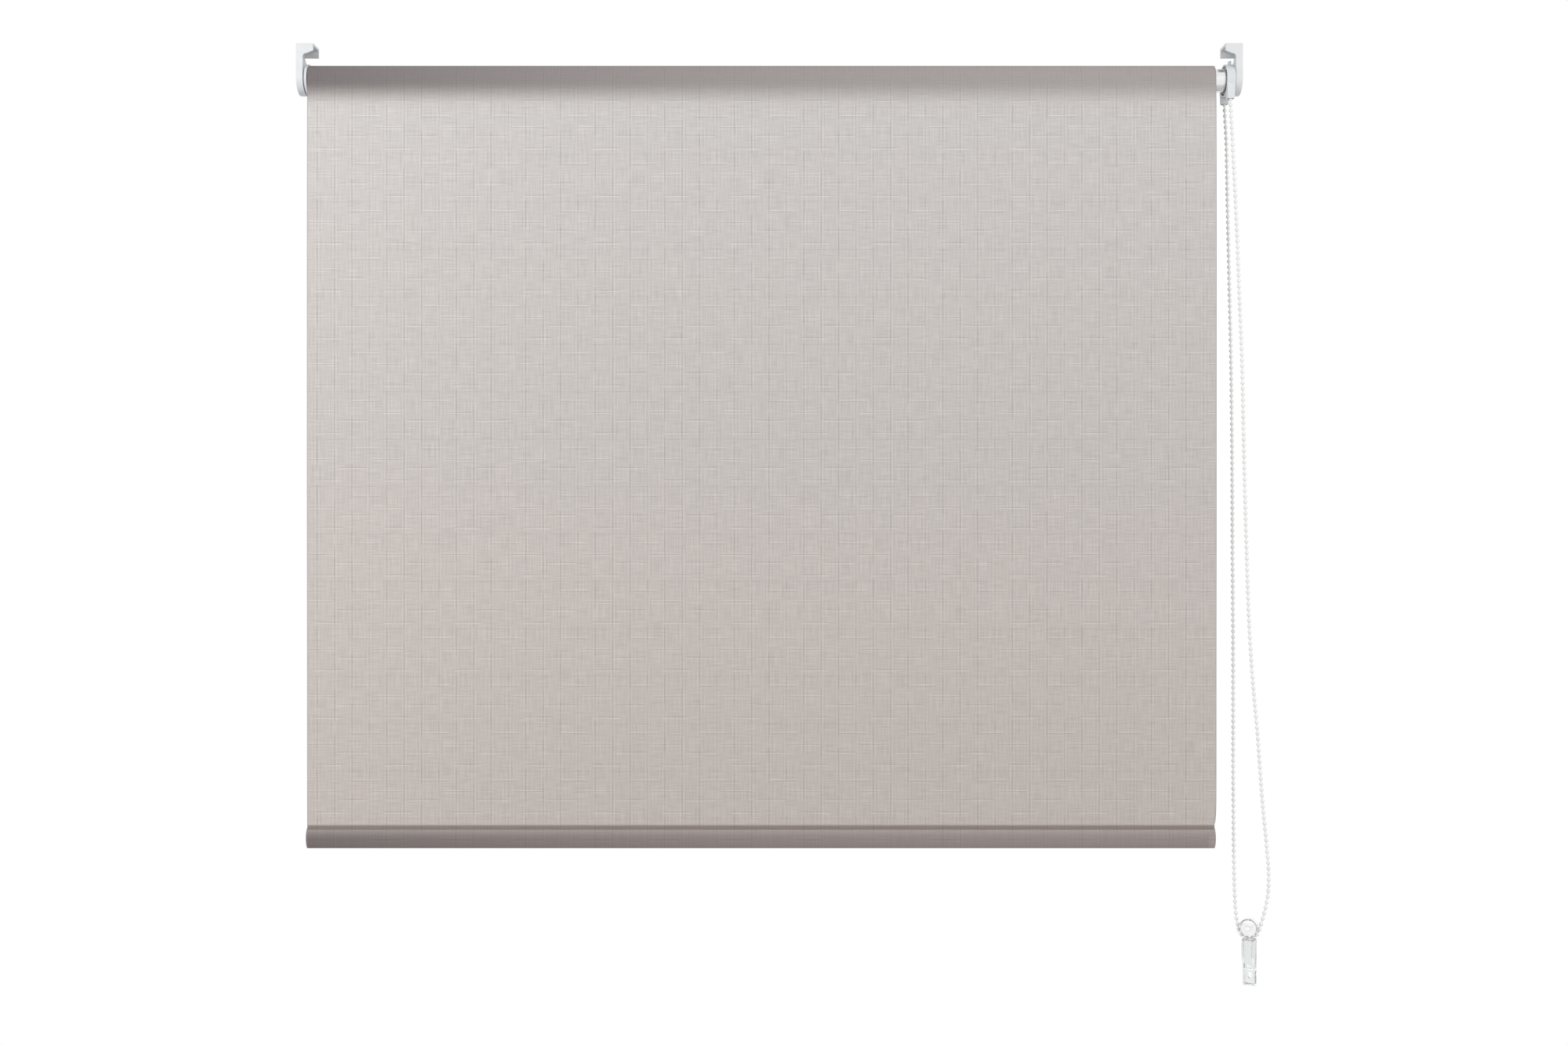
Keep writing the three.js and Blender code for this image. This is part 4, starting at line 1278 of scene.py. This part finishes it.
@dataclass
class Hem:
    """The cloth's welded foot: a flat flange, an oval sleeve under it and the bar inside."""

    cloth: Cloth
    length: float = 958 * MM
    gap: float = 0.3 * MM
    lap: float = 0.35 * MM
    flange_height: float = 3.4 * MM
    height: float = 21.6 * MM
    depth: float = 8 * MM
    bar_inset: float = 5 * MM
    end_draw: float = 0.5 * MM
    end_bulge: float = 0.7 * MM
    end_reach: float = 1.1  # of the bar's inset
    ripple: float = 0.1 * MM
    ripple_counts: tuple[float, float] = (9.3, 23.7)
    end_sections: int = 15
    middle_sections: int = 97
    flange_levels: tuple[float, ...] = (0.0, 0.12, 0.5, 0.86, 1.0)
    flange_pinch: tuple[float, ...] = (1.0, 1.0, 0.8, 0.62, 0.62)
    around: int = 56
    top: float = field(init=False)
    plane: float = field(init=False)

    def __post_init__(self) -> None:
        """Work out where the flange starts and in which plane it hangs."""
        self.top = AXIS_Z - self.cloth.drop - self.gap
        self.plane = AXIS_Y - self.cloth.sheet_middle

    def _across(self) -> Array:
        """Space the sections along the hem, close together where the bar ends.

        Returns:
            Places along X.
        """
        start, end = self.cloth.left, self.cloth.left + self.length
        near = 2 * self.bar_inset
        left = np.linspace(start, start + near, self.end_sections)
        middle = np.linspace(start + near, end - near, self.middle_sections)[1:-1]
        return np.concatenate([left, middle, np.linspace(end - near, end, self.end_sections)])

    def _sleeve(self, across: Array) -> tuple[Array, Array, Faces]:
        """Draw the sleeve: an ellipse whose depth has slow ripples along the hem and draws in
        over the last few millimetres at each end, where there is no bar. The open ends stand
        out in the middle, by the square of the cosine round the ellipse.

        Args:
            across: Places of the sections along X.

        Returns:
            Corners, metres down the cloth per corner, and faces: outer wall, inner wall, rims.
        """
        share = (across - self.cloth.left) / self.length
        slow, fast = (2 * np.pi * count * share for count in self.ripple_counts)
        wave = np.sin(slow) + np.sin(fast + 1)
        to_end = np.minimum(share, 1 - share) * self.length
        near_end = np.clip(1 - to_end / (self.end_reach * self.bar_inset), 0, 1)
        drawn = self.end_draw * near_end**1.5
        bulge = self.end_bulge * near_end**2 * np.sign(share - 0.5)
        turn = np.pi / 2 + 2 * np.pi * np.arange(self.around) / self.around
        half_height = self.height / 2
        middle = self.top - self.flange_height - half_height
        walls = []
        for inside in (0.0, self.cloth.thickness):
            half_depth = self.depth / 2 - inside + self.ripple * wave - drawn
            ring = np.empty((len(across), self.around, 3))
            ring[..., 0] = across[:, None] + bulge[:, None] * np.cos(turn) ** 2
            ring[..., 1] = self.plane + half_depth[:, None] * np.cos(turn)
            ring[..., 2] = middle + (half_height - inside) * np.sin(turn)
            walls.append(ring.reshape(-1, 3))
        count = len(walls[0])
        outer = np.array(ring_faces(len(across), self.around))
        inner = outer[:, ::-1] + count
        here = np.arange(self.around)
        beside = np.roll(here, -1)
        rim = np.stack([here, beside, beside + count, here + count], axis=1)
        far_rim = rim[:, ::-1] + count - self.around
        faces = np.concatenate([outer, inner, rim, far_rim]).tolist()
        run = self.flange_height + (turn - np.pi / 2) * (half_height + self.depth / 2) / 2
        down = np.tile(self.cloth.drop + run, 2 * len(across))
        return np.concatenate(walls), down, faces

    def _flange(self, across: Array) -> tuple[Array, Array, Faces]:
        """Draw the flange: two layers whose thickness is pinched towards the weld, and whose
        upper edge laps over the sheet's foot.

        Args:
            across: Places of the sections along X.

        Returns:
            Corners, metres down the cloth per corner, and faces.
        """
        run = self.flange_height + self.cloth.thickness + self.lap
        levels = np.array(self.flange_levels) * run - self.lap
        pinch = np.array(self.flange_pinch) * self.cloth.thickness
        anchor = np.array([self.plane, self.top])
        front = np.stack([-pinch, -levels], axis=1) + anchor
        back = np.stack([pinch, -levels], axis=1) + anchor
        places, faces = ribbon(front, back, across)
        run = np.concatenate([levels, levels[::-1]])
        return places, np.tile(self.cloth.drop + run, len(across)), faces

    def weld(self) -> Object:
        """Weld the pocket from its flange and its sleeve.

        Returns:
            The pocket.
        """
        across = self._across()
        sleeve, sleeve_down, faces = self._sleeve(across)
        flange, flange_down, flange_faces = self._flange(across)
        faces += [[len(sleeve) + corner for corner in face] for face in flange_faces]
        places = np.concatenate([sleeve, flange])
        down = np.concatenate([sleeve_down, flange_down])
        threads = np.stack([places[:, 0] - self.cloth.left, down], axis=1)
        piece = new_piece("welded_hem", places, faces, POCKET_CLOTH.make(), threads)
        turned_outwards(piece)
        return settle(piece, "hem", "hem_pocket")

    def fill(self, stock: Stock) -> None:
        """Put the bar into the pocket.

        Args:
            stock: The hard finishes.
        """
        Moulding("bottom_bar", "hem_bar", "hem", Slot.BAR).make(stock)


@dataclass
class RollerTube:
    """The bright metal tube, its cut ends lightly rounded."""

    start: float = 2.3 * MM
    end: float = 975 * MM
    radius: float = 12.5 * MM
    wall: float = 0.8 * MM
    ease: float = 0.15 * MM
    segments: int = 96

    def make(self, stock: Stock) -> None:
        """Turn the wall's section about the roller's axis.

        Args:
            stock: The hard finishes.
        """
        ease, out, bore = self.ease, self.radius, self.radius - self.wall
        radius = np.array([out, out, out - ease, bore + ease, bore, bore, bore + ease, out - ease])
        left, right = self.start, self.end
        x = [left + ease, right - ease, right, right, right - ease, left + ease, left, left]
        turn = 2 * np.pi * np.arange(self.segments)[:, None] / self.segments
        places = np.empty((self.segments, len(x), 3))
        places[..., 0] = x
        places[..., 1] = AXIS_Y + radius * np.cos(turn)
        places[..., 2] = AXIS_Z + radius * np.sin(turn)
        places = places.reshape(-1, 3)
        faces = np.array(ring_faces(self.segments + 1, len(x))) % len(places)
        piece = new_piece("roller_tube_wall", places, faces.tolist(), stock[Slot.TUBE])
        turned_outwards(piece)
        settle(piece, "roller", "roller_tube")


@dataclass(frozen=True)
class Coil:
    """A round-wire compression or wrap spring about the roller's axis.
    """

    node: str
    name: str
    radius: float
    wire: float
    start: float
    length: float
    turns: float
    pushed_by: str = ""
    steps: int = 30
    sides: int = 8

    def make(self, stock: Stock) -> None:
        """Carry the wire's circle along a helix: X grows evenly with the turn.

        Args:
            stock: The hard finishes.
        """
        turn = np.linspace(0, 2 * np.pi * self.turns, int(self.turns * self.steps) + 1)
        x = self.start + self.wire + (self.length - 2 * self.wire) * turn / turn[-1]
        back, up = self.radius * np.cos(turn), self.radius * np.sin(turn)
        line = np.stack([x, AXIS_Y + back, AXIS_Z + up], axis=1)
        radii = np.full(len(line), self.wire)
        places, faces = swept(line, radii, Vector((1, 0, 0)), self.sides)
        piece = new_piece(self.name, places, faces, stock[Slot.STEEL], smooth_below=60)
        if not self.pushed_by:
            settle(piece, "roller", self.node)
            return
        stretch(piece)
        stand_for(piece, self.node)


@dataclass
class Fittings:
    """A sub-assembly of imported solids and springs."""

    mouldings: tuple[Moulding, ...] = ()
    springs: tuple[Coil, ...] = ()

    def make(self, stock: Stock) -> None:
        """Ease and dress the mouldings, and wind the springs.

        Args:
            stock: The hard finishes.
        """
        for part in self.mouldings + self.springs:
            part.make(stock)


@dataclass
class EndBrackets(Fittings):
    """The two hook brackets that carry the roller, the right one the left one's mirror image."""

    mouldings: tuple[Moulding, ...] = (
        Moulding("left_bracket", "left_hook_bracket", "brackets", Slot.WHITE, 0.3 * MM),
        Moulding("right_bracket", "right_hook_bracket", "brackets", Slot.WHITE, 0.3 * MM),
    )


@dataclass
class IdleEnd(Fittings):
    """The roller's left end: a plug in the tube with a sprung pin that its cap keeps in."""

    mouldings: tuple[Moulding, ...] = (
        Moulding("idle_plug", "idle_end_plug", "roller", Slot.WHITE, 0.25 * MM),
        Moulding("idle_pin", "idle_end_pin", "end_pin", Slot.STEEL, 0.2 * MM),
        Moulding("plug_cap", "idle_plug_cap", "roller", Slot.GREY, 0.15 * MM),
    )
    springs: tuple[Coil, ...] = (
        Coil(
            "idle_spring",
            "idle_coil_spring",
            radius=3.35 * MM,
            wire=0.4 * MM,
            start=4.91 * MM,
            length=28.78 * MM,
            turns=7,
            pushed_by="end_pin",
        ),
    )


@dataclass
class Winder(Fittings):
    """The sidewinder: base with its spindle, chain wheel, guard, drive crown and two wrap
    springs that grip the spindle, held by a washer and a screw."""

    mouldings: tuple[Moulding, ...] = (
        Moulding("winder_base", "winder_base_disc", "brackets", Slot.WHITE, 0.25 * MM),
        Moulding("chain_guard", "winder_guard", "brackets", Slot.WHITE, 0.3 * MM),
        Moulding("chain_wheel", "winder_chain_wheel", "roller", Slot.GREY),
        Moulding("drive_crown", "winder_drive_crown", "roller", Slot.GREY, 0.15 * MM),
        Moulding("retaining_washer", "winder_washer", "brackets", Slot.STEEL, 0.1 * MM),
        Moulding("retaining_screw", "winder_screw", "brackets", Slot.STEEL, 0.1 * MM),
    )
    springs: tuple[Coil, ...] = tuple(
        Coil(
            f"wrap_spring_{place}",
            f"brake_spring_{place}",
            radius=5.35 * MM,
            wire=0.45 * MM,
            start=start,
            length=11.87 * MM,
            turns=5,
        )
        for place, start in (("inner", 944.4 * MM), ("outer", 958.3 * MM))
    )


@dataclass
class ChainTensioner:
    """The clear tensioner in the chain's lower bend: shell, sliding stem, pulley and axle."""

    shell: Moulding = Moulding(
        "tensioner_body", "clear_tensioner_body", "tensioner_shell", Slot.CLEAR, 0.2 * MM
    )
    thin: tuple[Moulding, ...] = tuple(
        Moulding(f"tensioner_{part}", f"clear_tensioner_{part}", body, Slot.CLEAR, edge)
        for part, body, edge in (
            ("slider", "tensioner_carriage", 0.15 * MM),
            ("pulley", "guide_pulley", 0.12 * MM),
            ("axle", "tensioner_carriage", 0.1 * MM),
        )
    )

    def make(self, stock: Stock) -> list[Object]:
        """Ease and dress the four clear pieces.

        Args:
            stock: The hard finishes.

        Returns:
            The pieces, which hang in the chain.
        """
        clear = {Slot.CLEAR: THIN_CLEAR.make()}
        return [self.shell.make(stock), *(moulding.make(clear) for moulding in self.thin)]


def main() -> None:
    """Build the blind from its camera and chain to its studio."""
    studio = Studio()
    studio.place_camera()
    stock = {slot: finish.make() for slot, finish in HARD_FINISHES.items()}
    tensioner = ChainTensioner().make(stock)
    BeadChain(stock[Slot.CHAIN]).make(tensioner)
    cloth = Cloth()
    hem = Hem(cloth)
    cloth.make(hem.weld())
    hem.fill(stock)
    for fitting in (RollerTube(), EndBrackets(), IdleEnd(), Winder()):
        fitting.make(stock)
    studio.set_up()


if __name__ == "__main__":
    logging.basicConfig(level=logging.INFO)
    main()
